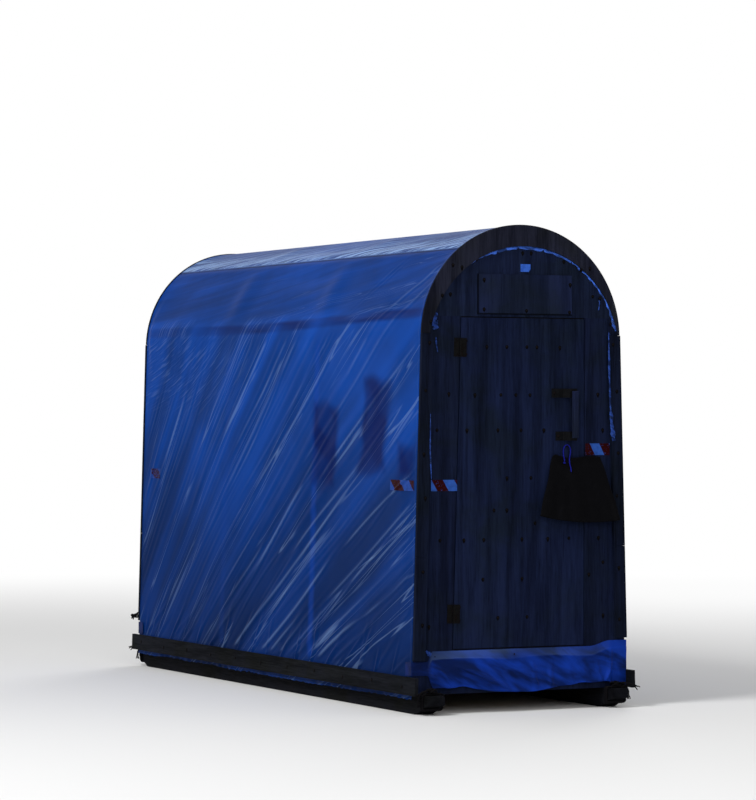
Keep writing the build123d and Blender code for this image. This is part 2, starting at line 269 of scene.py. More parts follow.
# %% Lay the floor
floor_half, fade_start, fade_stop = 60.0, 4.0, 13.0
floor_grey = (0.80, 0.80, 0.80, 1.0)
floor_mesh = bpy.data.meshes.new("studio_floor")
corners = [(floor_half * x, floor_half * y, 0.0) for x, y in ((-1, -1), (1, -1), (1, 1), (-1, 1))]
floor_mesh.from_pydata(corners, [], [(0, 1, 2, 3)])
floor_finish = new_finish("pale_floor")
tree = floor_finish.node_tree
shader = tree.nodes["Principled BSDF"]
feed(tree, shader, {"Base Color": floor_grey, "Roughness": 0.9})
far_out = add(tree, "VectorMath", {0: own_place(floor_finish)}, "Value", operation="LENGTH")
faded = spread(far_out, fade_start, fade_stop) * add(tree, "LightPath", output="Is Camera Ray")
glow = add(tree, "Emission", {"Color": white, "Strength": 1.0})
both = add(tree, "MixShader", {0: faded, 1: Wire(tree, shader.outputs[0]), 2: glow})
feed(tree, tree.nodes["Material Output"], {"Surface": both})
floor_mesh.materials.append(floor_finish)
new_object("studio_floor", floor_mesh)
print("floor", 2 * floor_half, "m wide, white from", fade_stop, "m out")

# %% [markdown]
# ## The finish of the wood
# Weathered wood has layers of pattern: broad bands of early and late growth,
# fine pores drawn out along the grain, open checks, and patches where damp has
# browned it. A picture of wood would repeat and show one board on all. Noise
# on the piece's own place, drawn out along the grain, never repeats, and one
# function serves every board, since only the grain's axis and the tones
# differ. The plate over the door also gets painted shade, a dark band along
# its left and lower edges.

# %% Wood finishes
grain_stretch = 0.055
edge_shade_start, edge_shade_stop = 0.005, 0.009


def wood(name, dark, light, axis, shift=0.0, stained=None):
    """Wood with its grain along an axis: bands and pores mix two tones, damp browns it in patches, and
    stained edges get painted shade.
    """
    finish = new_finish(name)
    own = own_place(finish)
    scale = [1.0, 1.0, 1.0]
    scale["xyz".index(axis)] = grain_stretch
    drawn = mapped(own, Scale=scale, Location=(shift, shift * 0.7, shift * 1.3))
    bands = noise(drawn, 13.0, 2.0, 0.5, 1.2)
    pores = noise(drawn, 150.0, 3.0, 0.65, 0.3)
    damp = noise(mapped(own, Location=(shift, shift, shift)), 2.3, 4.0, 0.62, 0.4)
    grain = pores * 0.45 + bands * 0.75
    colour = mixed(spread(grain, 0.36, 0.84), dark, light)
    grey, blue = (spread(damp, 0.40, 0.68, 1.0, least) for least in (0.84, 0.58))
    colour = shaded(colour, grey, grey, blue)
    colour = mixed(spread(pores, 0.30, 0.40, 1.0, 0.0) * 0.35, colour, times(0.5, dark))
    # Painted shade: a dark band along the plate's left and lower edges.
    if stained:
        x, _, z = split(own)
        left, foot = (
            spread(value, edge + edge_shade_start, edge + edge_shade_stop, 0.85, 0.0)
            for value, edge in zip((x, z), stained)
        )
        colour = mixed(left.most(foot), colour, (2, 3, 7))
    rough = spread(pores, 0.3, 0.7, 0.92, 0.72)
    return paint(finish, colour, rough, 0.03, grain, 0.55, 0.003)


frame_tones = ((92, 74, 56), (144, 120, 92))
ply_tones = ((9, 14, 32), (22, 30, 57))
strip_tones = ((8, 12, 25), (19, 26, 48))
board_tones = ((10, 12, 17), (26, 28, 35))
skid_tones = ((8, 9, 13), (22, 23, 29))
jamb_tones = ((24, 21, 20), (44, 38, 34))
bows = [f"roof_bow_{place}" for place in ("front", "forward", "aft", "rear")]
wood_nodes = {
    ("timber_across", frame_tones, "x"): ["floor_joists", "rear_girt", "door_ledges"],
    ("timber_along", frame_tones, "y"): ["rim_joists", "sole_plates", "eave_plates", "roof_purlins"],
    ("timber_upright", frame_tones, "z"): ["wall_studs_left", "wall_studs_right"],
    ("jamb_upright", jamb_tones, "z"): ["door_jambs"],
    ("jamb_across", jamb_tones, "x"): ["door_rails"],
    ("bow_timber", frame_tones, "x"): bows,
    ("ply_wall", ply_tones, "z"): ["front_wall_left", "front_wall_right", "front_wall_sill", "rear_wall"],
    ("ply_head", ((12, 18, 38), (26, 35, 63)), "z"): ["front_wall_head"],
    ("ply_door", ((10, 16, 36), (23, 32, 61)), "z"): ["door_leaf"],
    ("ply_plate", ((16, 23, 46), (27, 35, 64)), "z"): ["name_plate"],
    ("ply_deck", ((78, 64, 50), (118, 98, 76)), "y"): ["floor_deck"],
    ("strip_upright", strip_tones, "z"): ["corner_battens_front", "corner_battens_rear"],
    ("arch_strip", ((15, 17, 28), (36, 38, 53)), "z"): ["arch_trim_front", "arch_trim_rear"],
    ("damp_board", board_tones, "y"): ["base_board_left", "base_board_right"],
    ("skid_timber", skid_tones, "y"): ["skid_left", "skid_right"],
    ("grip_wood", ((14, 19, 40), (27, 34, 62)), "z"): ["pull_grip"],
}


def dress(names, finish):
    """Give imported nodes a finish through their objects' material slots."""
    for name in names:
        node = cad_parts[name]
        if not node.material_slots:
            node.data.materials.append(finish)
        for slot in node.material_slots:
            slot.material = finish


# The plate's corner places its painted edge shade.
plate_corner = (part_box("name_plate")[0].x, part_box("name_plate")[0].z)
for number, ((name, (dark, light), axis), nodes) in enumerate(wood_nodes.items()):
    stained = plate_corner if nodes == ["name_plate"] else None
    dress(nodes, wood(name, dark, light, axis, 0.37 * number, stained))
print("wood finishes", len(wood_nodes))

# %% [markdown]
# ## Steel
# The hinges and pull straps have stood outside for years. Rust is not one
# colour: a dark scale, brown bloom where it is fresh, and grain you can feel.
# A coarse noise chooses between the tones and roughens the bloom, and a fine
# one pits the surface.

# %% Steel finish
steel_nodes = {
    ("rusty_hinge", (4, 4, 5), (22, 14, 11), 0.50): ["hinge_leaves_frame", "hinge_leaves_door"],
    ("worn_strap", (6, 7, 10), (22, 20, 22), 0.56): ["pull_straps", "flap_nail"],
}


def rusty(name, dark, bright, bloom_start):
    """Rusted steel: dark scale with brighter bloom where a coarse noise is high, and a pitted relief."""
    finish = new_finish(name)
    own = own_place(finish)
    bloom = noise(own, 46.0, 5.0, 0.7)
    pits = noise(own, 260.0, 3.0, 0.6)
    colour = mixed(spread(bloom, bloom_start, bloom_start + 0.22), dark, bright)
    rough = spread(bloom, 0.35, 0.65, 0.55, 0.9)
    return paint(finish, colour, rough, 0.10, pits, 0.5, 0.0015, Metallic=0.35)


for (name, dark, bright, bloom_start), nodes in steel_nodes.items():
    dress(nodes, rusty(name, dark, bright, bloom_start))
print("steel finishes", len(steel_nodes))

# %% [markdown]
# ## From a grid of points to a piece
# Film, rubber and tape are surfaces over two parameters, so each one is an
# array of points in rows and columns. `surface` turns such an array into a
# mesh of quads at once. It can hold several copies, join the last column to
# the first for a tube, carry a UV map and named values for the finish, and
# turn the faces outwards, by a given direction or by the sign of its volume.


# %% Make surfaces
def grid(rows, columns):
    """Two values at each point of a grid, one by row and one by column, each from start, stop, count."""
    return np.meshgrid(np.linspace(*rows), np.linspace(*columns), indexing="ij")


def grid_quads(copies, rows, columns, around):
    """Corner numbers of all quads: each point with its neighbours in the row and the column."""
    last = columns if around else columns - 1
    row, column = np.meshgrid(np.arange(rows - 1), np.arange(last), indexing="ij")
    beside = (column + 1) % columns
    quads = np.stack([row * columns + column, row * columns + beside], -1)
    quads = np.concatenate([quads, quads[..., ::-1] + columns], -1).reshape(-1, 4)
    return (quads + (np.arange(copies) * rows * columns)[:, None, None]).reshape(-1, 4)


def surface(name, points, finish, body="hut", around=False, out=None, uv=None, marks=None):
    """A piece from points in (copies,) rows and columns, facing out, or a closed shell if out is None."""
    rows, columns = points.shape[-3:-1]
    flat = points.reshape(-1, 3)
    quads = grid_quads(len(flat) // (rows * columns), rows, columns, around)
    a, b, c, d = (flat[quads[:, corner]] for corner in range(4))
    areas = np.cross(c - a, d - b)
    facing = np.einsum("ij,ij->", areas, a) if out is None else (areas.sum(0) @ np.array(out))
    if facing < 0:
        quads = quads[:, ::-1]
    mesh = bpy.data.meshes.new(name)
    mesh.vertices.add(len(flat))
    mesh.vertices.foreach_set("co", flat.astype(np.float32).ravel())
    mesh.loops.add(quads.size)
    mesh.loops.foreach_set("vertex_index", quads.ravel().astype(np.int32))
    mesh.polygons.add(len(quads))
    mesh.polygons.foreach_set("loop_start", np.arange(0, quads.size, 4, dtype=np.int32))
    mesh.polygons.foreach_set("use_smooth", np.ones(len(quads), bool))
    mesh.update(calc_edges=True)
    if uv is not None:
        layer = mesh.uv_layers.new(name="UVMap")
        layer.data.foreach_set("uv", uv.reshape(-1, 2)[quads.ravel()].astype(np.float32).ravel())
    for key, values in (marks or {}).items():
        values = np.broadcast_to(values, points.shape[:-1]).astype(np.float32)
        mesh.attributes.new(key, "FLOAT", "POINT").data.foreach_set("value", values.ravel())
    mesh.materials.append(finish)
    made = new_object(name, mesh)
    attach(made, body)
    print(name, len(quads), "quads")
    return made


# %% Curves that every surface uses
def smooth(value, low, high):
    """0 below low, 1 above high, an even S between them."""
    share = np.clip((value - low) / (high - low), 0, 1)
    return share * share * (3 - 2 * share)


def hump(value, middle, width):
    """A bell: 1 at its middle, and about a third at its width to each side."""
    return np.exp(-(((value - middle) / width) ** 2))


def crest_line(across):
    """A crest between two shallow troughs: a bell times one less its square."""
    return (1 - across**2) * np.exp(-(across**2) / 2)


def ripple(along, across, seed, low, high, waves=14):
    """Even noise of about -1 to 1: a sum of plane waves with seeded directions, rates and phases."""
    draw = np.random.default_rng(seed)
    total = 0.0
    for _ in range(waves):
        turn, rate, phase = draw.uniform(0, 2 * pi), draw.uniform(low, high), draw.uniform(0, 2 * pi)
        total = total + np.sin(rate * (along * cos(turn) + across * sin(turn)) + phase)
    return total / sqrt(waves)


# %% [markdown]
# ## The film: its line over the frame
# The film goes from one foot over the arch to the other foot. Its section is a
# circle that runs on as two straight walls leaning in by a degree and a half.
# Every point is given by two lengths: how far along the hut, and how far from
# the crown round the section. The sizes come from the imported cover, so the
# sheet lies where the plain solid is.

# %% The film's section
roof_low, roof_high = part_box("cover_roof")
wall_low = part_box("cover_left")[0]
board_low, board_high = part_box("base_board_left")
front, rear = roof_low.y, roof_high.y
arch_middle = roof_low.z
film_radius = roof_high.z - roof_low.z
film_foot, foot_half = wall_low.z, -wall_low.x
wall_rise = arch_middle - film_foot
lean = atan2(foot_half, wall_rise) - asin(film_radius / hypot(foot_half, wall_rise))
spring = film_radius * (pi / 2 - lean)
film_reach = spring + (wall_rise + film_radius * sin(lean)) / cos(lean)
shoulder_turn, eave_turn = radians(38.0), radians(79.8)
shoulder = film_radius * shoulder_turn
purlin_half = 0.032
stud_places = [(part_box(bow)[0].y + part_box(bow)[1].y) / 2 for bow in bows[1:3]]


def section(around, side):
    """The film's line: x, z and the outward x, z at a length round from the crown, left for side -1."""
    turn = np.minimum(around / film_radius, pi / 2 - lean)
    beyond = np.maximum(around - spring, 0)
    out_x, out_z = np.sin(turn), np.cos(turn)
    x = film_radius * out_x + beyond * sin(lean)
    z = arch_middle + film_radius * out_z - beyond * cos(lean)
    return side * x, z, side * out_x, out_z


print("film from crown to foot", round(film_reach, 3), "lean", round(lean, 4))

# %% [markdown]
# ## The film: how it is pulled
# Film that is stretched over a frame does three things. Between the purlins
# it leaves the circle and follows the chord, so the roof shows flat facets. On
# the wall it pulls into long folds that fan out from one low rear corner,
# because the frame has racked. And over the board that holds its foot it
# gathers in short pleats at the nails. Each is a small formula for how far the
# film stands out, and the sum is the sheet. A cloth simulation could give
# folds too, but not these ones in these places.

# %% Sag, folds and pleats
fan_reach, fan_drop, fan_bend = 5.3, 2.2, 0.15
pleat_spacing = 0.19


def sag(along, around):
    """How deep the chord between two purlins lies under the circle, eased at the ends and over the bows."""
    turn = around / film_radius
    edge = purlin_half / film_radius
    depth = 0.0
    for low, high in ((edge, shoulder_turn - edge), (shoulder_turn + edge, eave_turn)):
        middle, half = (low + high) / 2, (high - low) / 2
        chord = film_radius * cos(half) / np.cos(np.clip(turn - middle, -half, half))
        depth = depth + np.where((turn > low) & (turn < high), film_radius - chord, 0.0)
    share = 0.92 * (1 - np.exp(-np.minimum(along - front, rear - along) / 0.16))
    for place in stud_places:
        share = share - 0.42 * hump(along, place, 0.11)
    return depth * share


def fan_folds(along, height, seed, count, nears, lengths, widths, crests):
    """Long folds on rays from one low point past the rear: each a crest between two shallow troughs."""
    draw = np.random.default_rng(seed)
    ahead, up = fan_reach - (along - front), fan_drop + height * (1 + 0.5 * fan_bend * height)
    angle, reach = np.arctan2(up, ahead), np.hypot(up, ahead)
    total = np.zeros_like(angle)
    for start in np.linspace(0.40, 1.24, count) + draw.uniform(-0.5, 0.5, count) / count:
        near, length = draw.uniform(*nears), draw.uniform(*lengths)
        width, crest = draw.uniform(*widths), draw.uniform(*crests)
        bend, rate, phase = draw.uniform(0.001, 0.006), draw.uniform(1.5, 4.0), draw.uniform(0, 2 * pi)
        across = (angle - start - bend * np.sin(rate * reach + phase)) * reach / width
        shown = smooth(reach, near, near + 0.35) * (1 - smooth(reach, near + length, near + length + 0.6))
        total += crest * shown * crest_line(across)
    return total


def nail_pleats(along, height, seed):
    """Short pleats that rise from the nails in the foot board and lean towards the front."""
    draw = np.random.default_rng(seed)
    total = np.zeros_like(along)
    up = np.maximum(height - board_high.z, 0)
    on_film = smooth(height, board_high.z - 0.02, board_high.z + 0.03)
    for nail in np.arange(front + 0.06, rear, pleat_spacing) + draw.uniform(-0.04, 0.04):
        for tilt in draw.uniform(0.5, 1.25, 2):
            rise, width = draw.uniform(0.10, 0.36), draw.uniform(0.007, 0.012)
            crest = draw.uniform(0.002, 0.006)
            across = ((along - nail) * sin(tilt) + up * cos(tilt)) / (width + 0.03 * up)
            total += crest * (1 - smooth(up, 0.15 * rise, rise)) * on_film * crest_line(across)
    return total


# %% [markdown]
# ## The film: the finish
# Polythene is neither clear nor white: it scatters light, lets some through
# and shines along every crest; here that shine is painted. The shader is one
# Principled with a steady alpha, so the frame behind shows faintly, as it does
# in the photograph. Fine wrinkles, thinner than any mesh cell, are thin pale
# lines where a noise crosses its middle value, painted highlights, and so are
# the crests of folds and short streaks high on the wall. The noise is wound
# along the same fan as the folds, in the sheet's own UV metres, and drawn out
# far longer than it is wide. Frost on the crown, partly painted sky reflection,
# the deeper blue line where the film touches a stud, which is painted light,
# and the dim shapes behind it and the band at the eave plate, which are painted
# shade, are values on the mesh. The film is also painted darker towards its
# foot, towards the front and on the roof above the eave, as painted shade.

# %% Film patterns
fan_across, fan_along = 58.0, 0.5
roof_slant, crown_slant, roof_across = 0.15, 0.38, 22.0
fine_start, fine_turn, fine_across, fine_along = 1.403, 0.1675, 62.0, 6.0
rim_out = 0.006


def hairlines(place, scale, thin, bend=0.4):
    """Thin lines where a noise crosses its middle value, faded in and out by a coarser noise."""
    off = abs(noise(place, scale, 1.0, 0.5, bend) - 0.5)
    return spread(off, 0.0, thin, 1.0, 0.0) * spread(noise(place, 0.28 * scale, 1.0), 0.50, 0.62)


def fan_place(length, down):
    """A place wound along the fan: its angle and its reach from the fan's low point, each with a scale."""
    ahead = fan_reach - length
    laid = film_foot + film_reach - down
    up = laid * (laid * (0.5 * fan_bend) + 1.0) + fan_drop
    reach = (ahead * ahead + up * up).maths("SQRT")
    return joined(up.maths("ARCTAN2", ahead) * fan_across, reach * fan_along)


def roof_place(length, around, down):
    """A place drawn out along the roof, slanting more on the crown than beside it."""
    slant = spread(down, shoulder - 0.01, shoulder, -crown_slant, -roof_slant)
    return joined(length, (length * slant + around) * roof_across)


def fine_ripples(length, down):
    """Noise drawn out along a curve that steepens to the front, for short streaks high on the wall."""
    turning = length * (fine_start - length * fine_turn)
    return noise(joined(length * fine_along, (down - turning) * fine_across), 1.0, 1.0, 0.5, 0.1)


def frosted(colour, pale, dark, roof, down, frost_and_glare):
    """A colour under broken frost and painted sky reflection in a pale tone, with dark cracks and a dark
    rim at the shoulder.
    """
    patches = noise(roof, 2.2, 5.0, 0.68, 0.9)
    colour = mixed(frost_and_glare * spread(patches, 0.44, 0.58, 0.04, 0.94), colour, pale)
    cracks = hairlines(roof, 1.7, 0.055, 0.5) * (frost_and_glare * 0.95)
    from_rim = abs(down - (shoulder + rim_out))
    rim = spread(from_rim, 0.003, 0.009, 0.8, 0.0) * spread(patches, 0.30, 0.55)
    return mixed(cracks.most(rim), colour, dark)


# %% Film finish
# Pale tone: frost and painted highlights. Deeper blue: painted light at the studs. Darkest: painted shade
# behind the film.
film_tone, frost_and_sheen_tone, contact_light_tone, behind_shade_tone = (15, 61, 140), (142, 174, 222), (14, 62, 158), (7, 22, 78)


def film_finish(name, base, pale):
    """Scattering film: painted highlights along the fan and the roof, frost with painted sky reflection,
    painted light at the studs and painted shade.
    """
    finish = new_finish(name)
    flat = flat_place(finish)
    length, around, _ = split(flat)
    down = abs(around)
    frost_and_glare, contact_light, behind_shade, crest, fine = (
        marked(finish, mark) for mark in ("frost_and_glare", "contact_light", "behind_shade", "crest", "fine")
    )
    fan, roof = fan_place(length, down), roof_place(length, around, down)
    ripples = fine_ripples(length, down)
    on_wall = spread(down, spring - 0.16, spring - 0.06)
    on_roof = (1.0 - on_wall) * spread(length, 1.2, 2.6, 0.55, 0.0)
    # Painted highlights: thin pale lines along the fan, along the roof and in short streaks high on the
    # wall.
    wall_sheen_lines = hairlines(fan, 1.6, 0.032) * on_wall * (1.0 - fine * 0.9)
    roof_sheen_lines = hairlines(roof, 1.9, 0.030, 0.05) * on_roof
    sheen_lines = wall_sheen_lines.most(roof_sheen_lines).most(spread(ripples, 0.52, 0.74) * (fine * 0.50))

    wall_broad, roof_broad = noise(fan, 0.34, 2.0, 0.5, 0.3), noise(roof, 0.8, 2.0) * 0.5 + 0.25
    broad = roof_broad + (wall_broad - roof_broad) * on_wall
    soft = broad * 0.6 + noise(flat, 0.9, 4.0, 0.6, 0.3) * 0.4
    colour = mixed(spread(soft, 0.36, 0.64), times(0.80, base), times(1.14, base))
    # Painted shade: the film darkens towards its foot, towards the front and on the roof above the eave.
    high = spread(down, spring - 0.1, film_reach, 1.12, 0.46) * spread(length, 0.0, 1.8, 0.84, 1.0)
    high = high * spread(down, spring - 0.17, spring - 0.10, 0.76, 1.0)
    # Painted light: a deeper blue line where the film touches a stud.
    colour = mixed(contact_light * 0.60, shaded(colour, high, high, high), contact_light_tone)
    # Painted highlights: wrinkle lines and fold crests turned pale; at crests partly also the paler doubled
    # film.
    colour = mixed(crest * 0.24, mixed(sheen_lines * 0.22, colour, pale), pale)
    colour = frosted(colour, pale, times(0.45, base), roof, down, frost_and_glare)
    relief = sheen_lines * 0.5 + broad + fine * ripples * 1.1
    # Painted shade: the eave band and the shapes behind the film.
    return paint(finish, mixed(behind_shade * 0.88, colour, behind_shade_tone), 0.38, 0.010, relief, 0.7, 0.006, Alpha=0.95)


film_cover = film_finish("stretched_film", film_tone, frost_and_sheen_tone)
print("film finish", len(film_cover.node_tree.nodes), "nodes")

# %% [markdown]
# ## The film: the sheets
# One sheet covers the hut, but its crown is frosted, with painted sky
# reflection, and its walls are not, so it is made in three pieces that meet on
# the shoulder purlins. Each is a grid over the two lengths, with a point every
# nine millimetres, which is fine enough for the narrowest fold. The marks for
# the finish use the same grid.

# %% What the film's finish needs to know
# Painted shade: a dark band at the eave plate, and dark shapes on the left wall's film for things behind
# it.
eave_start, eave_full, eave_fade, eave_stop = 1.932, 1.955, 1.985, 2.005
shadow_shapes = ((-0.86, -0.54, 1.10, 1.56), (-1.44, -1.11, 1.20, 1.69), (-1.77, -1.55, 1.15, 1.36))


def shade_behind(along, height, side):
    """Painted shade: how much darker the film is before the eave plate, and on the left before the hanging
    shapes.
    """
    lifted = height - 0.042 * (1 - smooth(along, front, 0.4))
    eave = smooth(lifted, eave_start, eave_full) * (1 - smooth(lifted, eave_fade, eave_stop))
    ragged = np.clip(ripple(along, 6 * height, 8, 4, 16), -1, 1)
    behind_shade = eave * (0.66 + 0.26 * ragged) * (1 - 0.65 * smooth(along, 0.3, 1.3))
    if side < 0:
        clear = 0.75 + 0.25 * smooth(ripple(along, height, 5, 10, 30), -0.6, 0.6)
        for start, stop, low, high in shadow_shapes:
            slope = 0.10 * (height - low)
            ragged = 0.020 * ripple(along, height, int(100 * high), 10, 30)
            inside = np.minimum(along + slope - start - 0.03, stop + 0.03 - along - slope)
            inside = np.minimum(inside, np.minimum(height - low, high - height))
            behind_shade = np.maximum(behind_shade, clear * smooth(inside + ragged, -0.02, 0.06))
    return behind_shade


def film_marks(along, around, height, crests, side):
    """Frost and painted sky reflection high on the roof, painted light where timber lies behind, painted
    shade at the eave and the shapes inside, and crests of folds.
    """
    # Frost on the crown, partly painted sky reflection, strongest towards the shoulder.
    frost_and_glare = 1 - smooth(around, shoulder - 0.012, shoulder + 0.004)
    frost_and_glare = frost_and_glare * (0.30 + 0.68 * smooth(around, 0.10, shoulder - 0.03))
    on_wall = smooth(height, 0.20, 0.23) * (1 - smooth(height, 1.80, 1.95))
    # Painted light over the studs, stronger at the first one.
    contact_light = np.zeros_like(along)
    for place, share in zip(stud_places, (0.75, 0.2)):
        contact_light = np.maximum(contact_light, share * on_wall * (1 - smooth(np.abs(along - place), 0.006, 0.050)))
    fine = smooth(along, 0.0, 1.2) * smooth(height, 1.45, 1.65) * (1 - smooth(height, 1.93, 1.97))
    behind_shade, crest = shade_behind(along, height, side), smooth(crests, 0.0012, 0.0055)
    return {"frost_and_glare": frost_and_glare, "contact_light": contact_light, "behind_shade": behind_shade, "crest": crest, "fine": fine}


# %% Where the film stands out
film_step = 0.0092
tail_long = 0.028
bulge_height, bulge_half, bulge_deep = 1.98, 0.16, 0.024
sharp_folds = (150, (2.6, 6.0), (0.5, 2.0), (0.0100, 0.0150), (0.0011, 0.0048))
broad_folds = (26, (2.4, 5.0), (0.8, 2.4), (0.022, 0.045), (0.0018, 0.0055))


def fold_strength(from_front, around, height):
    """How strong the fan is: weaker to the rear and low down, and on the roof only near the front."""
    on_wall = 1 - smooth(height, 1.86, 1.95)
    near_front = 1 - smooth(from_front, 0.25, 1.0)
    strong = 1.0 - 0.35 * smooth(from_front, 1.9, 3.0)
    strong = strong * (1.0 - 0.88 * smooth(from_front, 1.8, 2.6) * smooth(height, 1.42, 1.72))
    strong = strong * (1.0 - 0.60 * smooth(from_front, 2.0, 2.7) * (1 - smooth(height, 0.90, 1.15)))
    strong = strong * (1.0 - 0.45 * (1 - smooth(from_front, 0.3, 1.0)) * (1 - smooth(height, 0.55, 0.95)))
    strong = strong * smooth(height, board_high.z + 0.004, board_high.z + 0.05)
    return strong * np.maximum(on_wall, near_front * smooth(around, shoulder + 0.02, shoulder + 0.15))


def roof_waves(from_front, along, around, height, seed):
    """Long low waves on the loose film of the roof, none where it lies on a purlin."""
    free = smooth(np.abs(around - shoulder), 0.0, 0.05) * smooth(around, purlin_half, purlin_half + 0.06)
    loose = (0.0022 - 0.0014 * smooth(from_front, 1.4, 2.4)) * smooth(height, 2.0, 2.05)
    return loose * free * ripple(along, 9 * around + 0.25 * along, seed, 2.0, 6.0)


def broad_form(along, height, side):
    """The film's broad form: a shallow hollow between the studs and a bulge at the left rear shoulder."""
    bays = (along - stud_places[0]) / (stud_places[1] - stud_places[0])
    on_wall = smooth(height, 0.25, 0.7) * (1 - smooth(height, 1.6, 1.93))
    hollow = 0.0035 * (np.cos(2 * pi * bays) - 1) * on_wall
    at_rear = smooth(along, 0.7, 1.35) * (1 - smooth(along, rear - 0.10, rear - 0.004))
    return hollow + bulge_deep * np.less(side, 0) * hump(height, bulge_height, bulge_half) * at_rear


def film_points(along, around, side, seed):
    """The film's points: the section moved out by form and folds and in by sag, with a ragged tail."""
    x, height, out_x, out_z = section(np.minimum(around, film_reach), side)
    from_front = along - front
    laid = film_foot + film_reach - around
    strong = fold_strength(from_front, around, height)
    held = smooth(np.minimum(from_front, rear - along), 0.0, 0.10)
    sharp = strong * fan_folds(along, laid, seed, *sharp_folds)
    broad = strong * np.maximum(fan_folds(along, laid, seed + 9, *broad_folds), 0)
    folds = sharp + broad + nail_pleats(along, height, seed + 1) * (1 - smooth(height, 0.75, 0.85))
    folds = folds + roof_waves(from_front, along, around, height, seed + 2)
    folds = np.maximum(folds, -0.0018 - 0.004 * smooth(height, 2.0, 2.05)) * held
    puckers = 0.0016 * np.sin(2 * pi * around / 0.085) * (1 - smooth(from_front, 0.0, 0.09))
    rolled = 0.0025 * smooth(from_front, 0.0, 0.006) * (1 - smooth(from_front, 0.012, 0.03))
    edge = (puckers + rolled) * smooth(height, board_high.z + 0.004, board_high.z + 0.05)
    out = folds + broad_form(along, height, side) + edge - sag(along, around)
    below = np.maximum(around - film_reach, 0) / tail_long
    tail = 0.021 + 0.004 * ripple(along, 0, seed + 3, 5, 24) + 0.002 * ripple(along, 0, seed + 5, 60, 200)
    flare = 0.003 * below * (1 + ripple(along, 0, seed + 4, 30, 90))
    x = x + out_x * out + side * flare
    z = height + out_z * out - below * np.clip(tail, 0.006, tail_long)
    return np.stack([x, along, z], -1), sharp * held, height


# %% Film sides and crown
walls, ends = ((-1, "left"), (1, "right")), ((-1, "front"), (1, "rear"))
film_seeds = {-1: 11, 1: 47, 0: 83}
film_stop = film_reach + tail_long


def film_piece(name, start, stop, side, cover):
    """One stretch of the film between two lengths round from the crown, as a sheet in place of a plain
    cover.
    """
    rows = int(round((stop - start) / film_step)) + 1
    columns = int(round((rear - front) / film_step)) + 1
    around, along = grid((start, stop, rows), (front, rear, columns))
    signed = side if side else np.where(around < 0, -1, 1)
    points, crests, height = film_points(along, np.abs(around), signed, film_seeds[side])
    marks = film_marks(along, np.abs(around), height, crests, side)
    uv = np.stack([along - front, around if side else -around], -1)
    sheet = surface(name, points, film_cover, out=(side, 0.0, 0.5), uv=uv, marks=marks)
    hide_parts(cover)
    stop - start


for side, end in walls:
    film_piece(f"film_{end}", shoulder, film_stop, side, f"cover_{end}")
film_piece("film_crown", -shoulder, shoulder, 0, "cover_roof")

# %% [markdown]
# ## A tube along a path
# Cord, rope and knots are all round stuff along a line. A curve object with a
# bevel makes one, but a rope's strands need a mesh. `tube` carries a ring of
# points along a path: at each point the ring stands square to the path, turned
# by a guide direction that never runs along it. Its ends close to a point.


# %% Make tubes
def along_path(path, guide):
    """Two directions at each point of a path, square to it and to each other, set by a guide direction."""
    ahead = np.gradient(path, axis=0)
    ahead /= np.linalg.norm(ahead, axis=1)[:, None]
    beside = np.cross(ahead, np.broadcast_to(guide, path.shape))
    beside /= np.linalg.norm(beside, axis=1)[:, None]
    return beside, np.cross(ahead, beside)


def tube(path, radius, sides, guide, ends=True):
    """Rings of a radius along a path, each ring's points evenly round it; rounded ends if ends is true."""
    beside, over = along_path(path, guide)
    turn = np.linspace(0, 2 * pi, sides, endpoint=False)
    steps = np.linspace(-1, 1, len(path))
    size = radius * (np.sqrt(np.maximum(1 - np.abs(steps) ** 24, 0)) if ends else np.ones(len(path)))
    ring = beside[:, None] * np.cos(turn)[:, None] + over[:, None] * np.sin(turn)[:, None]
    return path[:, None] + size[:, None, None] * ring


def trefoil(middle, size, points=90):
    """The line of an overhand knot: a trefoil, which winds twice round while it waves three times."""
    turn = np.linspace(0, 2 * pi, points)
    wide = 2 + np.cos(3 * turn)
    line = np.stack([wide * np.cos(2 * turn), wide * np.sin(2 * turn), np.sin(3 * turn)], -1)
    return np.array(middle) + line * size / 3, line


def close_seams(piece):
    """Merge the points that lie on each other where rings close."""
    shape = bmesh.new()
    shape.from_mesh(piece.data)
    bmesh.ops.remove_doubles(shape, verts=shape.verts, dist=1e-5)
    bmesh.ops.recalc_face_normals(shape, faces=shape.faces)
    shape.to_mesh(piece.data)
    shape.free()
    return piece


# %% [markdown]
# ## The blue cord
# A loop of blue cord hangs the rubber flap on a nail. It comes out of a knot
# on the flap, goes over the nail and ends in a short loose tail, 244 mm in
# all. A limp cord makes one smooth line, so it is a NURBS curve through the
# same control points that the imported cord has, each written as an offset from
# the nail. It lies a knot's radius in front of the flap's sloping face.

# %% The cord's route
flap_left, flap_top = 0.183, 1.293
flap_slope_across, flap_slope_down = 0.0245, 0.106
flap_thick, soft_gap = 0.005, 0.0003
cord_across, cord_knot_half, cord_knot_tall = 0.006, 0.007, 0.013
nail_low, nail_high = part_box("flap_nail")
nail_x, nail_z = (nail_low.x + nail_high.x) / 2, (nail_low.z + nail_high.z) / 2
cord_route = (
    (-0.0145, -0.0785),
    (-0.0145, -0.0670),
    (-0.0185, -0.0495),
    (-0.0200, -0.0285),
    (-0.0180, -0.0090),
    (-0.0080, 0.0050),
    (0.0085, 0.0060),
    (0.0200, -0.0070),
    (0.0220, -0.0275),
    (0.0185, -0.0485),
    (0.0135, -0.0685),
    (0.0145, -0.0895),
    (0.0205, -0.1095),
    (0.0210, -0.1305),
)


def flap_back(x, z):
    """The y of the flap's back: it leaves the door to the right and downwards."""
    return front - soft_gap - flap_slope_across * (x - flap_left) - flap_slope_down * (flap_top - z)


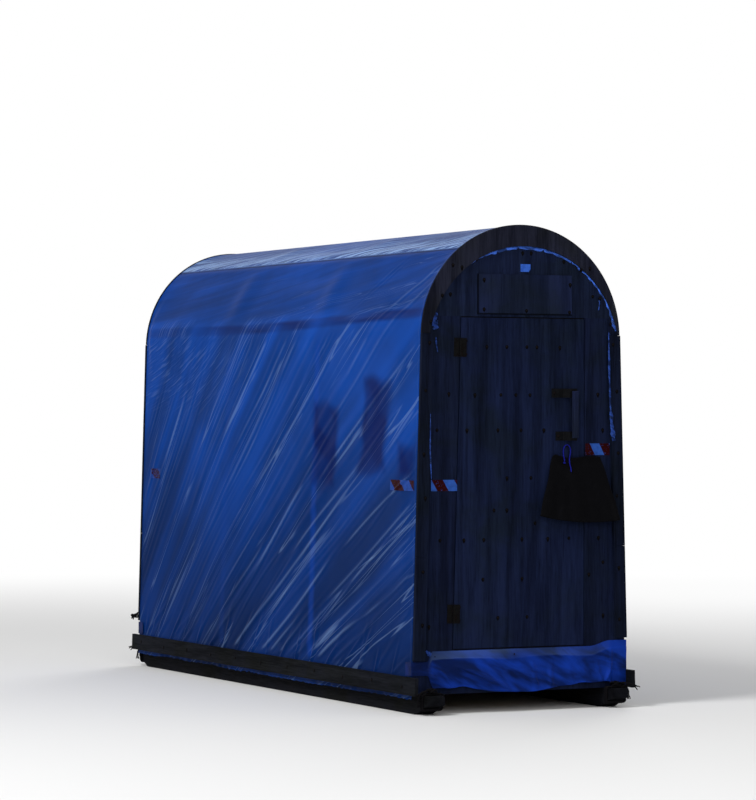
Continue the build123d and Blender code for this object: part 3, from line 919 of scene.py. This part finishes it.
def cord_point(right, up):
    """A control point by its offset from the nail, in front of the flap by its knot's radius."""
    x, z = nail_x + right, nail_z + up
    face = flap_back(x + cord_knot_half, min(z, flap_top) - cord_knot_tall)
    face = face - flap_thick * sqrt(1 + flap_slope_across**2 + flap_slope_down**2)
    return x, face - soft_gap - cord_knot_half, z


route = [cord_point(right, up) for right, up in cord_route]
route[1] = (route[1][0], route[0][1], route[1][2])
print("cord points", len(route))

# %% Cord and knot
blue_cord = new_finish("braided_blue")
weave = noise(mapped(own_place(blue_cord), Scale=(1.0, 1.0, 0.6)), 900.0, 2.0)
colour = mixed(spread(weave, 0.4, 0.6), (10, 12, 84), (24, 32, 140))
paint(blue_cord, colour, 0.7, 0.04, weave, 0.6, 0.0008)

curve = bpy.data.curves.new("flap_hanging_cord", "CURVE")
curve.dimensions = "3D"
line = curve.splines.new("NURBS")
line.points.add(len(route) - 1)
for point, place in zip(line.points, route):
    point.co = (*place, 1.0)
line.order_u = 3
line.use_endpoint_u = True
line.resolution_u = 8
curve.bevel_depth = cord_across / 2
curve.bevel_resolution = 4
curve.use_fill_caps = True
curve.materials.append(blue_cord)
hanging_cord = new_object("flap_hanging_cord", curve)
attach(hanging_cord, "door")
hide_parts("flap_cord")

knot_line, knot_guide = trefoil(Vector(route[0]) - Vector((0, 0, cord_knot_tall / 2)), 0.0042)
knot_rings = tube(knot_line, 0.0028, 12, knot_guide, ends=False)
cord_knot = close_seams(surface("flap_knot", knot_rings, blue_cord, "door", around=True))
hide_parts("flap_cord_knot")

# %% [markdown]
# ## The rubber flap
# A worn sheet of black rubber hangs beside the lock, gathered where its cord
# holds it and wide at its foot. It is a grid between a short top line and a
# long curved foot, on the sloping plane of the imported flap. Soft folds fall
# from the gathered corner, a rolled edge thickens the top, and a Solidify
# modifier gives it its thickness.

# %% Rubber finish
rubber = new_finish("old_rubber")
own = own_place(rubber)
dust = noise(own, 16.0, 5.0, 0.65, 0.5)
grained = noise(own, 320.0, 2.0) * 0.3 + noise(own, 38.0, 3.0)
colour = mixed(spread(dust, 0.42, 0.72), (2, 2, 4), (9, 9, 12))
paint(rubber, colour, spread(dust, 0.35, 0.65, 0.62, 0.85), 0.04, grained, 0.5, 0.003)
print("rubber finish", len(rubber.node_tree.nodes), "nodes")

# %% Rubber flap
(top_x0, top_z0), (top_x1, top_z1) = (0.183, 1.293), (0.456, 1.290)
(foot_x0, foot_z0), (foot_x1, foot_z1) = (0.088, 0.986), (0.558, 0.960)
flap_belly, flap_top_drop = 0.021, 0.006
sheet_thick, sheet_stand = 0.0042, 0.0004

down, over = grid((0, 1, 56), (0, 1, 72))
top_wave = 0.004 * np.sin(9 * over + 0.6) + 0.007 * hump(over, 0.05, 0.05) - 0.005 * hump(over, 0.30, 0.12)
top_z = top_z0 + (top_z1 - top_z0) * over + top_wave - flap_top_drop
foot_z = foot_z0 + (foot_z1 - foot_z0) * over - 4 * flap_belly * over * (1 - over)
x = (1 - down) * (top_x0 + (top_x1 - top_x0) * over) + down * (foot_x0 + (foot_x1 - foot_x0) * over)
x = x + 0.004 * np.sin(11 * down) * (over - 0.5)
z = (1 - down) * top_z + down * foot_z
folds = 0.006 * np.sin(15 * over + 1.4 * down) + 0.004 * np.sin(31 * over - 2.0 * down + 1.0)
rolled = 0.005 * hump(down, 0, 0.035) + 0.010 * hump(over, 0.08, 0.07) * hump(down, 0, 0.10)
out = 0.010 * smooth(down, 0.0, 0.3) + folds * smooth(down, 0.05, 0.9) + rolled
points = np.stack([x, flap_back(x, z) - sheet_stand - 0.8 * out, z], -1)
rubber_flap = surface("rubber_flap", points, rubber, "door", out=(0, -1, 0))
thick = rubber_flap.modifiers.new("rubber_thickness", "SOLIDIFY")
thick.thickness = sheet_thick
thick.offset = 1.0
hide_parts("lock_flap")

# %% [markdown]
# ## Loose film: the skirts
# A strip of the same film is nailed under the door and closes the gap down to
# the skids. Only its hem is held, so it hangs in slanting folds, and its ends
# wrap round the corners. Loose film has soft broad light and dark, unlike the
# stretched sheet, so its finish paints that light and shade as a slanting
# noise, with a few hairlines as painted highlights, and the folds themselves
# are in the mesh. The strip's tone is painted darker than the sheet's, as
# shade. The rear end repeats the strip.

# %% Loose film finish
wrapped_tone = (8, 20, 56)


def loose_film(name, base, pale, scale, sheen_lines):
    """Hanging film: painted soft light and shade from slanting folds, a few pale hairlines as painted
    highlights, and a pale doubled hem.
    """
    finish = new_finish(name)
    turned = mapped(own_place(finish), Rotation=(0.0, radians(-24), 0.0))
    slanted = mapped(turned, Scale=(0.32, 1.0, 1.0))
    soft = noise(slanted, scale, 3.0, 0.55, 0.4)
    crease = hairlines(slanted, 1.8 * scale, 0.035, 0.15)
    # Painted light and shade of the slanting folds.
    colour = mixed(spread(soft, 0.38, 0.64), times(0.62, base), times(1.30, base))
    # Painted highlights: pale crease hairlines.
    colour = mixed(crease * sheen_lines, colour, pale)
    colour = mixed(marked(finish, "hem") * 0.16, colour, pale)
    colour = mixed(marked(finish, "wrapped") * 0.75, colour, wrapped_tone)
    return paint(finish, colour, 0.36, 0.03, crease * 0.3 + soft, 0.5, 0.010, Alpha=0.96)


# Painted shade: the skirt's film is a darker copy of the sheet's, on the foot of the front.
shaded_skirt_film = loose_film("loose_film", (13, 40, 114), frost_and_sheen_tone, 9.0, 0.0)
print("skirt finish", len(shaded_skirt_film.node_tree.nodes), "nodes")

# %% Skirts
skirt_low, skirt_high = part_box("skirt_front")
corner_x, wrap_long, hem_width = foot_half + 0.0025, 0.065, 0.045
skirt_foot, wrap_foot = 0.100, 0.196
fold_x, fold_z, fold_run, fold_fall = -0.336, 0.223, 0.919, 0.395
crease_x, crease_z, crease_slope = 0.527, 0.215, 0.5


def hanging_folds(across, height, seed, count=15):
    """Hanging folds: slanting down to the right on the left half, upright on the right half."""
    draw = np.random.default_rng(seed)
    total = np.zeros_like(across)
    for start in np.linspace(-0.62, 0.60, count) + draw.uniform(-0.03, 0.03, count):
        slant = draw.uniform(0.9, 2.0) if start < 0.05 else draw.uniform(-0.25, 0.35)
        width, crest = draw.uniform(0.008, 0.018), draw.uniform(0.004, 0.010)
        under = skirt_high.z - hem_width - height
        away = across - start - slant * under
        total += crest * smooth(under, 0.0, 0.07) * hump(away, 0, width * (1 + abs(slant)))
    return total


def big_folds(across, height):
    """One big fold that slants down from the left, steep on its lower side, and a crease at the right."""
    off = (across - fold_x) * fold_fall + (height - fold_z) * fold_run
    along_it = (across - fold_x) * fold_run - (height - fold_z) * fold_fall
    sharp = np.exp(-np.abs(np.where(off > 0, off / 0.030, off / 0.006)) ** 1.5)
    fold = 0.020 * sharp * smooth(along_it, -0.06, 0.02) * (1 - smooth(along_it, 0.24, 0.36))
    crease = across - crease_x - crease_slope * np.minimum(height - crease_z, 0)
    return fold + 0.010 * hump(crease, 0, 0.007) * smooth(height, 0.12, 0.16)


def skirt(name, side, seed):
    """A hanging strip from its hem down to a wavy foot, its ends wrapped round the corners."""
    reach = corner_x + wrap_long
    down, over = grid((0, 1, 46), (-reach, reach, 300))
    inner = 1 - smooth(np.abs(over), -skirt_low.x, -skirt_low.x + 0.03)
    left_wrap = (1 - inner) * (over < 0)
    top = skirt_high.z - 0.001 + 0.026 * smooth(over, 0.40, 0.52) - 0.052 * left_wrap
    foot = skirt_foot + 0.034 * smooth(np.abs(over + 0.03), 0.06, 0.40)
    foot = foot + 0.004 * ripple(over, 0, seed, 12, 55)
    foot = foot * inner + (1 - inner) * np.where(over < 0, wrap_foot, skirt_foot)
    height = top + (foot - top) * down
    hem_deep = hem_width + 0.005 * ripple(over, 0, seed + 5, 8, 30)
    hem = 1 - smooth(top - height, hem_deep - 0.003, hem_deep + 0.001)
    worn = (0.6 + 0.4 * ripple(over, 2 * height, seed + 6, 6, 20)) * (1 - 0.7 * smooth(over, 0.1, 0.4))
    folds = hanging_folds(over, height, seed) + big_folds(over, height)
    out = 0.0012 + 0.0014 * hem + (1 - hem) * (0.003 + 0.011 * down * inner + folds * (0.35 + 0.65 * inner))
    out = out + 0.0012 * (1 + ripple(over, height, seed + 1, 25, 90))
    round_it = np.maximum(np.abs(over) - corner_x, 0)
    x = np.sign(over) * (np.minimum(np.abs(over), corner_x) + 0.0012 * smooth(round_it, 0, 0.004))
    y = front - out * (1 - smooth(round_it, 0, 0.01)) + round_it
    points = np.stack([x, side * -y, height], -1)
    marks = {"hem": hem * inner * worn, "wrapped": left_wrap}
    return surface(name, points, shaded_skirt_film, out=(0, side, 0), marks=marks)


for (side, end), wall in zip(ends, ("front_wall_sill", "rear_wall")):
    hanging = skirt(f"film_skirt_{end}", side, 61)
    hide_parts(f"skirt_{end}")

# %% [markdown]
# ## Loose film: the edge under the arch
# The sheet was folded over the end, pinched under the arch boards and cut off
# roughly, so a torn pale edge shows inside the trim. It follows the trim's
# inner arc. Here and there it has come away in slivers and a tuft. All of
# these are ribbons: a line in the plane of the end wall, a changing width, and
# a ragged stand-off.

# %% Torn film finishes and places
torn_film = loose_film("torn_film", (34, 58, 122), (76, 102, 156), 40.0, 0.5)
# Painted light: the arc's film is a lighter copy of the torn film, against the trim's shadow over it.
lit_arc_film = loose_film("torn_film_lit_arc", (54, 90, 178), (106, 136, 194), 40.0, 0.5)
trim_middle, trim_inner = (0.020, 1.797), 0.557
batten_face, trim_face, plate_face = (
    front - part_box(node)[0].y for node in ("corner_battens_front", "arch_trim_front", "name_plate")
)
wall_stand = 0.0012
batten_stand = batten_face + wall_stand
loose_strips = (
    (((-0.484, 2.010), (-0.500, 1.962), (-0.492, 1.926)), (0.010, 0.015), wall_stand),
    (((-0.478, 1.972), (-0.486, 1.950), (-0.476, 1.932)), (0.007, 0.007), wall_stand),
    (((-0.486, 1.886), (-0.484, 1.850), (-0.477, 1.813)), (0.004, 0.004), wall_stand),
    (((-0.526, 1.503), (-0.528, 1.330), (-0.521, 1.180)), (0.003, 0.004), batten_stand),
    (((0.458, 2.100), (0.459, 2.069), (0.454, 2.036)), (0.003, 0.003), wall_stand),
    (((0.503, 1.925), (0.506, 1.740), (0.512, 1.560), (0.517, 1.500)), (0.004, 0.005), batten_stand),
    (((0.512, 1.560), (0.521, 1.450), (0.532, 1.366)), (0.004, 0.016), batten_stand),
    (((-0.540, 0.320), (-0.530, 0.308), (-0.512, 0.298)), (0.007, 0.010), wall_stand),
)
print("loose strips", len(loose_strips), "battens stand out", round(batten_face, 4))


# %% Torn film edges
def end_y(side, out):
    """The y of a point that stands this far out from an end wall."""
    return side * -(front - out)


def ribbon(line, halves, seed, side, stand, rows=60):
    """A ribbon on an end wall: points to both sides of a line by a ragged width, a little off the wall."""
    steps = np.linspace(0, 1, rows)
    spots = np.linspace(0, 1, len(line))
    x, z = (np.interp(steps, spots, [spot[axis] for spot in line]) for axis in (0, 1))
    run = np.stack([np.gradient(x), np.gradient(z)], -1)
    run /= np.linalg.norm(run, axis=1)[:, None]
    half = np.interp(steps, (0, 1), halves)
    width = half * (1 + 0.30 * ripple(steps, 0, seed, 8, 40))
    width = width * np.sin(pi * np.clip(steps, 0.01, 0.99)) ** 0.2
    share = np.linspace(-1, 1, 7)
    x = x[:, None] + run[:, 1:] * width[:, None] * share
    z = z[:, None] - run[:, :1] * width[:, None] * share
    ragged = 1 + np.random.default_rng(seed).uniform(-1, 1, (rows, 7))
    off = stand + 0.25 * half[:, None] * (ragged + np.cos(share * pi / 2))
    return np.stack([x, end_y(side, off), z], -1)


def torn_edge(side, end):
    """The arc of torn film inside the trim, with its loose slivers, as one piece."""
    turn = np.linspace(radians(-44), radians(76), 420)
    wide = 0.0095 + 0.009 * hump(turn, 0, 0.33) + 0.004 * ripple(turn, 0, 9, 14, 90)
    wide = np.clip(wide, 0.002, 0.022) * (0.3 + 0.7 * smooth(turn, -0.60, -0.28))
    wide = wide + 0.010 * hump(turn, 1.27, 0.05)
    for gap in (-0.29, -0.07, 0.20, 0.52):
        wide = wide * (1 - 0.7 * hump(turn, gap, 0.008))
    share = np.linspace(0, 1, 7)
    radius = trim_inner + 0.001 - wide[:, None] * share
    x = trim_middle[0] + radius * np.sin(turn)[:, None]
    z = trim_middle[1] + radius * np.cos(turn)[:, None]
    ragged = np.random.default_rng(17).uniform(0, 1, (len(turn), 7))
    off = 0.001 + 0.0035 * np.sin(share * pi) + 0.0015 * ragged
    arc, out = np.stack([x, end_y(side, off), z], -1), (0, side, 0)
    edge = surface(f"film_edge_{end}", arc, lit_arc_film, out=out)
    for number, (line, halves, stand) in enumerate(loose_strips):
        points = ribbon(line, halves, 20 + number, side, stand)
        sliver = surface(f"film_sliver_{end}_{number + 1}", points, torn_film, out=out)
        sliver.parent = edge


for side, end in ends:
    torn_edge(side, end)

# %% [markdown]
# ## Nails, screws and their stains
# Nails pin the trim, the battens and the ledges behind the door, and each has
# bled a dark stain into the wood. A head is a few rings of points round its
# place: the inner rings fall from a flat dome, and the outer ring lies on the
# wood as the stain, drawn out downwards as water runs. All heads of one row
# are worked out at once and make one mesh. The rear repeats the front's trim.

# %% Nail finish and heads
nail_iron = new_finish("nail_and_stain")
iron = mixed(spread(noise(own_place(nail_iron), 190.0, 4.0), 0.4, 0.65), (6, 6, 8), (25, 19, 18))
paint(nail_iron, mixed(marked(nail_iron, "stain"), iron, (3, 3, 6)), 0.75, 0.04)
ring_sizes = np.array([0.0, 0.55, 0.90, 1.0, 1.0])
ring_lifts = np.array([1.0, 0.92, 0.60, 0.15, 0.12, 0.05])[:, None]
ring_stains = np.array([0, 0, 0, 0, 1.0, 1.0])[:, None]
ring_bled = np.array([0, 0, 0, 0, 0, 1.0])[:, None]


def nails(name, places, ahead, body="hut", radius=0.0050, rise=0.0016, stained=1.8):
    """Rings round each place: a dome falling from its middle, then a stain that widens downwards."""
    places, ahead = np.array(places, float), np.array(ahead, float)
    beside = np.cross((0.0, 0.0, 1.0), ahead)
    rings = radius * np.append(ring_sizes, stained)[:, None]
    turn = np.linspace(0, 2 * pi, 12, endpoint=False)
    run = np.random.default_rng(len(places)).uniform(0.1, 1.3, len(places))[:, None, None]
    across = rings * np.cos(turn)
    up = rings * np.sin(turn) * (1 + run * ring_bled * np.maximum(-np.sin(turn), 0) ** 3)
    points = places[:, None, None] + across[..., None] * beside + up[..., None] * (0, 0, 1)
    points = points + rise * ring_lifts[..., None] * ahead
    marks = {"stain": ring_stains}
    heads = surface(name, points, nail_iron, body, around=True, out=ahead, marks=marks)
    return close_seams(heads)


# %% Nails of the door, walls, trim and battens
door_rows = {
    1.843: (-0.196, -0.081, 0.035, 0.093, 0.227),
    1.600: (-0.264, -0.115, -0.029, 0.053),
    1.422: (-0.309, -0.132, 0.001, 0.134),
    1.180: (-0.080, 0.059),
    1.018: (-0.154, -0.080),
    0.950: (0.083,),
    0.870: (-0.326, -0.212, 0.007, 0.158, 0.281),
    0.670: (-0.217, 0.008),
    0.475: (-0.131, 0.037),
}
wall_rows = {
    2.320: (0.010, 0.059),
    2.280: (-0.257, 0.250),
    2.105: (-0.404, 0.420),
    1.605: (-0.412, 0.451),
    1.422: (-0.479, 0.480),
    0.870: (-0.462, 0.455),
    0.744: (0.482,),
    0.684: (0.399,),
    0.472: (0.483,),
    0.440: (-0.523,),
}
trim_nails = ((-0.396, 2.250), (-0.345, 2.241), (-0.456, 2.097), (-0.520, 1.965))
batten_nail_heights = (0.45, 0.715, 1.084, 1.303, 1.62, 1.86)
batten_half, batten_nail_sway = 0.032, 0.009
hem_rows, hem_face = {0.289: (-0.492, -0.038, 0.485)}, 0.0034


def wall_x(height):
    """Half the width of the hut at a height on its leaning walls."""
    return foot_half - (height - film_foot) * sin(lean) / cos(lean)


def row_places(rows, y):
    """Places on an end from rows of heights, each with its places across."""
    return [(x, y, height) for height, across in rows.items() for x in across]


def both_halves(places, y):
    """Places on an end, and the same places on its other half."""
    return [(turn * x, y, z) for turn in (1, -1) for x, z in places]


nails("door_nails", row_places(door_rows, front), (0, -1, 0), "door")
batten_nails = [(wall_x(z) - batten_half + batten_nail_sway * sin(40 * z), z) for z in batten_nail_heights]
for side, end in ends:
    rows = wall_rows if side < 0 else {**wall_rows, **door_rows}
    out = (0, side, 0)
    nails(f"wall_nails_{end}", row_places(rows, end_y(side, 0.0)), out)
    nails(f"trim_nails_{end}", both_halves(trim_nails, end_y(side, trim_face)), out)
    nails(f"batten_nails_{end}", both_halves(batten_nails, end_y(side, batten_face)), out)
    nails(f"skirt_nails_{end}", row_places(hem_rows, end_y(side, hem_face)), out)

# %% Screws of the plate, hinges and pull, and nails of the foot boards
plate_screws = ((-0.215, 2.181), (0.284, 2.164), (-0.215, 2.032), (0.029, 2.027), (0.280, 2.022))
nails("plate_screws", [(x, front - plate_face, z) for x, z in plate_screws], (0, -1, 0))
hinge_levels, screw_steps = (1.838, 0.500), ((-0.034, 0.005), (0.0, -0.005), (0.034, 0.005))
leaf_face, hinge_to_wall, screw_out = front - 0.0025, 0.2315, 0.022
screw_spots = [(screw_out + sway, middle + step) for middle in hinge_levels for step, sway in screw_steps]
for side, body in ((-1, "hut"), (1, "door")):
    screws = [(side * across - wall_x(z) + hinge_to_wall, leaf_face, z) for across, z in screw_spots]
    nails(f"hinge_screws_{body}", screws, (0, -1, 0), body, 0.0035, 0.0010, 1.2)
bolts = [(0.193, front - 0.004, 1.610), (0.216, front - 0.004, 1.391)]
nails("pull_bolts", bolts, (0, -1, 0), "door", 0.0065, 0.0030, 1.1)
board_nail_height, board_nail_sway = 0.145, 0.016
board_spots = [(y, board_nail_height + board_nail_sway * sin(9 * y)) for y in np.arange(-1.70, 1.75, 0.34)]
for side, end in walls:
    nails(f"board_nails_{end}", [(side * -board_low.x, y, z) for y, z in board_spots], (side, 0, 0))

# %% [markdown]
# ## Rope on the skid noses
# Old rope is lashed round three of the skid noses, with a knot on top and
# ends that have frayed. A twisted rope is three strands that wind round one
# line. So the line is worked out first: a rounded rectangle that steps one
# rope's width at each turn, or the trefoil of an overhand knot, or a short
# tail. Then each strand is a tube that winds round it, and at a frayed end the
# winding opens out.

# %% Strands
rope_radius, strand_radius, strand_out, rope_lay = 0.0055, 0.0030, 0.0027, 0.036
fray_start = 0.72
old_rope = new_finish("old_rope")
hemp = noise(own_place(old_rope), 420.0, 3.0)
paint(old_rope, mixed(spread(hemp, 0.35, 0.65), (6, 6, 9), (22, 21, 24)), 0.9, 0.04, hemp, 0.6, 0.0010)


def evenly(line, count):
    """The same line with points evenly spaced along it, and its length."""
    line = np.array(line, float)
    run = np.concatenate([[0], np.cumsum(np.linalg.norm(np.diff(line, axis=0), axis=1))])
    steps = np.linspace(0, run[-1], count)
    return np.stack([np.interp(steps, run, line[:, axis]) for axis in range(3)], -1), run[-1]


def strands(line, guide, fray=0.0, rows=200):
    """Three tubes that wind round a line, and open out over its last quarter by fray."""
    line, long = evenly(line, rows)
    guide = evenly(guide, rows)[0] if np.ndim(guide) > 1 else np.array(guide, float)
    beside, over = along_path(line, guide)
    steps = np.linspace(0, 1, rows)
    frayed = smooth(steps, fray_start, 1.0)
    opened = strand_out + fray * frayed**2
    wound = []
    for phase in np.arange(3) * 2 * pi / 3:
        turn = phase + 2 * pi * long * steps / rope_lay * (1 - 0.25 * frayed * (fray > 0))
        round_it = beside * np.cos(turn)[:, None] + over * np.sin(turn)[:, None]
        wound.append(tube(line + opened[:, None] * round_it, strand_radius, 6, guide))
    return wound


# %% Lashings and knots
skid_top, skid_half, skid_middle = 0.100, 0.050, 0.530
nose_rise, nose_long, nose_start = 0.055, 0.130, 1.735
first_turn, lash_turns = 1.833, 3
knot_rise, second_out, second_rise = 0.022, 0.042, 0.006
tail_down = ((0, 0, 0), (0.034, 0, 0.001), (0.062, 0, -0.012), (0.076, 0, -0.040), (0.077, 0.004, -0.082))
tail_out = ((0, 0, 0.004), (0.036, 0.022, 0.006), (0.078, 0.040, -0.003), (0.112, 0.046, -0.022))


def lashing_line(side, end):
    """Turns round a skid nose: four corners with a small round, each a little further from the tip."""
    corner = np.repeat([[1, 1], [-1, 1], [-1, -1], [1, -1]], 6, axis=0)
    turn = np.linspace(0, pi / 2, 6)[None] + np.arange(4)[:, None] * pi / 2
    corner, turn = np.tile(corner, (lash_turns, 1)), np.tile(turn.ravel(), lash_turns)
    y = first_turn - 2 * rope_radius * np.linspace(0, lash_turns - 1, len(turn))
    foot = nose_rise * (y - rope_radius - nose_start) / nose_long
    half, middle = (skid_top - foot) / 2, (skid_top + foot) / 2
    round_it = rope_radius + 0.0006
    x = side * skid_middle + corner[:, 0] * skid_half + round_it * np.cos(turn)
    return np.stack([x, end * y, middle + corner[:, 1] * half + round_it * np.sin(turn)], -1)


def lashing(side, end):
    """All strands of one lashing: its turns, the knot on top and two frayed tails."""
    y = end * (first_turn - rope_radius * lash_turns + rope_radius)
    knot = (side * skid_middle, y, skid_top + knot_rise)
    second_knot = (side * (skid_middle + second_out), y, skid_top + second_rise)
    down, out = (np.array(tail) * (side, end, 1) + knot for tail in (tail_down, tail_out))
    parts = strands(lashing_line(side, end), (0, 1, 0))
    parts = parts + strands(*trefoil(knot, 0.026)) + strands(*trefoil(second_knot, 0.020))
    return parts + strands(down, (0, 1, 0), 0.006) + strands(out, (0.1, 0.2, 1.0), 0.010)


ropes = lashing(-1, -1) + lashing(1, -1) + lashing(-1, 1)
rope_piece = close_seams(surface("rope_lashings", np.stack(ropes), old_rope, around=True))
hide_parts("skid_lashings")

stub = ((-0.585, 1.8005, 0.318), (-0.612, 1.802, 0.316), (-0.634, 1.803, 0.302), (-0.652, 1.802, 0.280))
corner_rope = strands(*trefoil((-0.634, 1.802, 0.298), 0.022)) + strands(stub, (0, 1, 0), 0.005)
close_seams(surface("rope_knot_rear", np.stack(corner_rope), old_rope, around=True))

# %% [markdown]
# ## Reflective tape and the white square
# Short lengths of red and white tape mark the corners. Its blocks slant, and
# the tape has lost some of its colour. Each length is a thin surface with a
# UV map in metres, and the finish works the slanting blocks out from it with a
# few Math nodes. On the wall it is laid on the film by the film's own formula.

# %% Tape
# The wall's paper is a darker copy of the end paper, painted shade.
end_paper, shaded_wall_paper, tape_red = (44, 84, 168), (30, 64, 142), (38, 1, 1)
wall_block, wall_slant, tape_stand = 0.105, -1.1, 0.0022


def tape_finish(name, start, block, slant, worn, paper):
    """Red and white blocks with slanting sides, from a UV map in metres; a noise wears the red away."""
    finish = new_finish(name)
    own = own_place(finish)
    over, up, _ = split(flat_place(finish))
    block_share = ((up * slant + over) * (1 / (2 * block)) + start).maths("FRACT")
    chips = noise(own, 130.0, 4.0, 0.7)
    red = spread(block_share, 0.49, 0.51) * spread(chips, 0.28 + 0.3 * worn, 0.34 + 0.3 * worn)
    ground = mixed(spread(noise(own, 40.0, 4.0), 0.35, 0.7), paper, times(0.84, paper))
    honeycomb = add(own.tree, "TexVoronoi", {"Vector": own, "Scale": 330.0})
    return paint(finish, mixed(red, ground, tape_red), 0.5, 0.04, honeycomb, 0.25, 0.0006)


def end_tape(name, left, right, low, high, side, start, block, slant):
    """A length of tape flat on an end wall, its corners a little lifted."""
    up, over = grid((high, low, 9), (left, right, 24))
    from_middle, wide = np.abs(over - (left + right) / 2), right - left
    lifted = 0.0006 + 0.0012 * smooth(from_middle, 0.4 * wide, 0.5 * wide)
    points = np.stack([over, end_y(side, lifted), up], -1)
    uv = np.stack([over - left, up - low], -1)
    finish = tape_finish(name, start, block, slant, 0.2, end_paper)
    return surface(name, points, finish, out=(0, side, 0), uv=uv)


def wall_tape(name, start_y, stop_y, low, high, side, start, worn):
    """A length of tape on the wall's film, laid on the same formula as the film."""
    up, along = grid((high, low, 12), (start_y, stop_y, 40))
    around = spring + (arch_middle + film_radius * sin(lean) - up) / cos(lean)
    points = film_points(along, around, side, film_seeds[side])[0]
    points[..., 0] += side * tape_stand
    uv = np.stack([along - start_y, up - low], -1)
    finish = tape_finish(name, start, wall_block, wall_slant, worn, shaded_wall_paper)
    return surface(name, points, finish, out=(side, 0, 0), uv=uv)


for side, end in ends:
    end_tape(f"tape_left_{end}", -0.513, -0.366, 1.117, 1.173, side, 0.214, 0.064, 0.60)
    end_tape(f"tape_right_{end}", 0.376, 0.520, 1.293, 1.353, side, 0.482, 0.056, 0.52)
for side, end in walls:
    wall_tape(f"tape_wall_{end}_front", -1.741, -1.472, 1.117, 1.170, side, 0.0, 0.2)
    wall_tape(f"tape_wall_{end}_rear", 1.525, 1.666, 1.119, 1.176, side, 0.61, 0.5)

# %% The white square
square_left, square_right, square_low, square_high = -0.003, 0.054, 2.224, 2.263
cut_wide, cut_tall, cut_deep, square_stand = 0.010, 0.012, 0.006, 0.0012
square_finish = new_finish("white_square")
grime = noise(own_place(square_finish), 60.0, 4.0)
paint(square_finish, mixed(spread(grime, 0.4, 0.75), (54, 98, 196), (38, 76, 166)), 0.6, 0.04)
up, over = grid((square_high, square_low, 9), (square_left, square_right, 12))
near_right = smooth(over, square_right - cut_wide, square_right)
cut = cut_deep * near_right * smooth(square_low + cut_tall - up, 0.0, cut_tall)
points = np.stack([over - cut, front - square_stand + 0 * over, up + cut], -1)
surface("white_square", points, square_finish, out=(0, -1, 0))
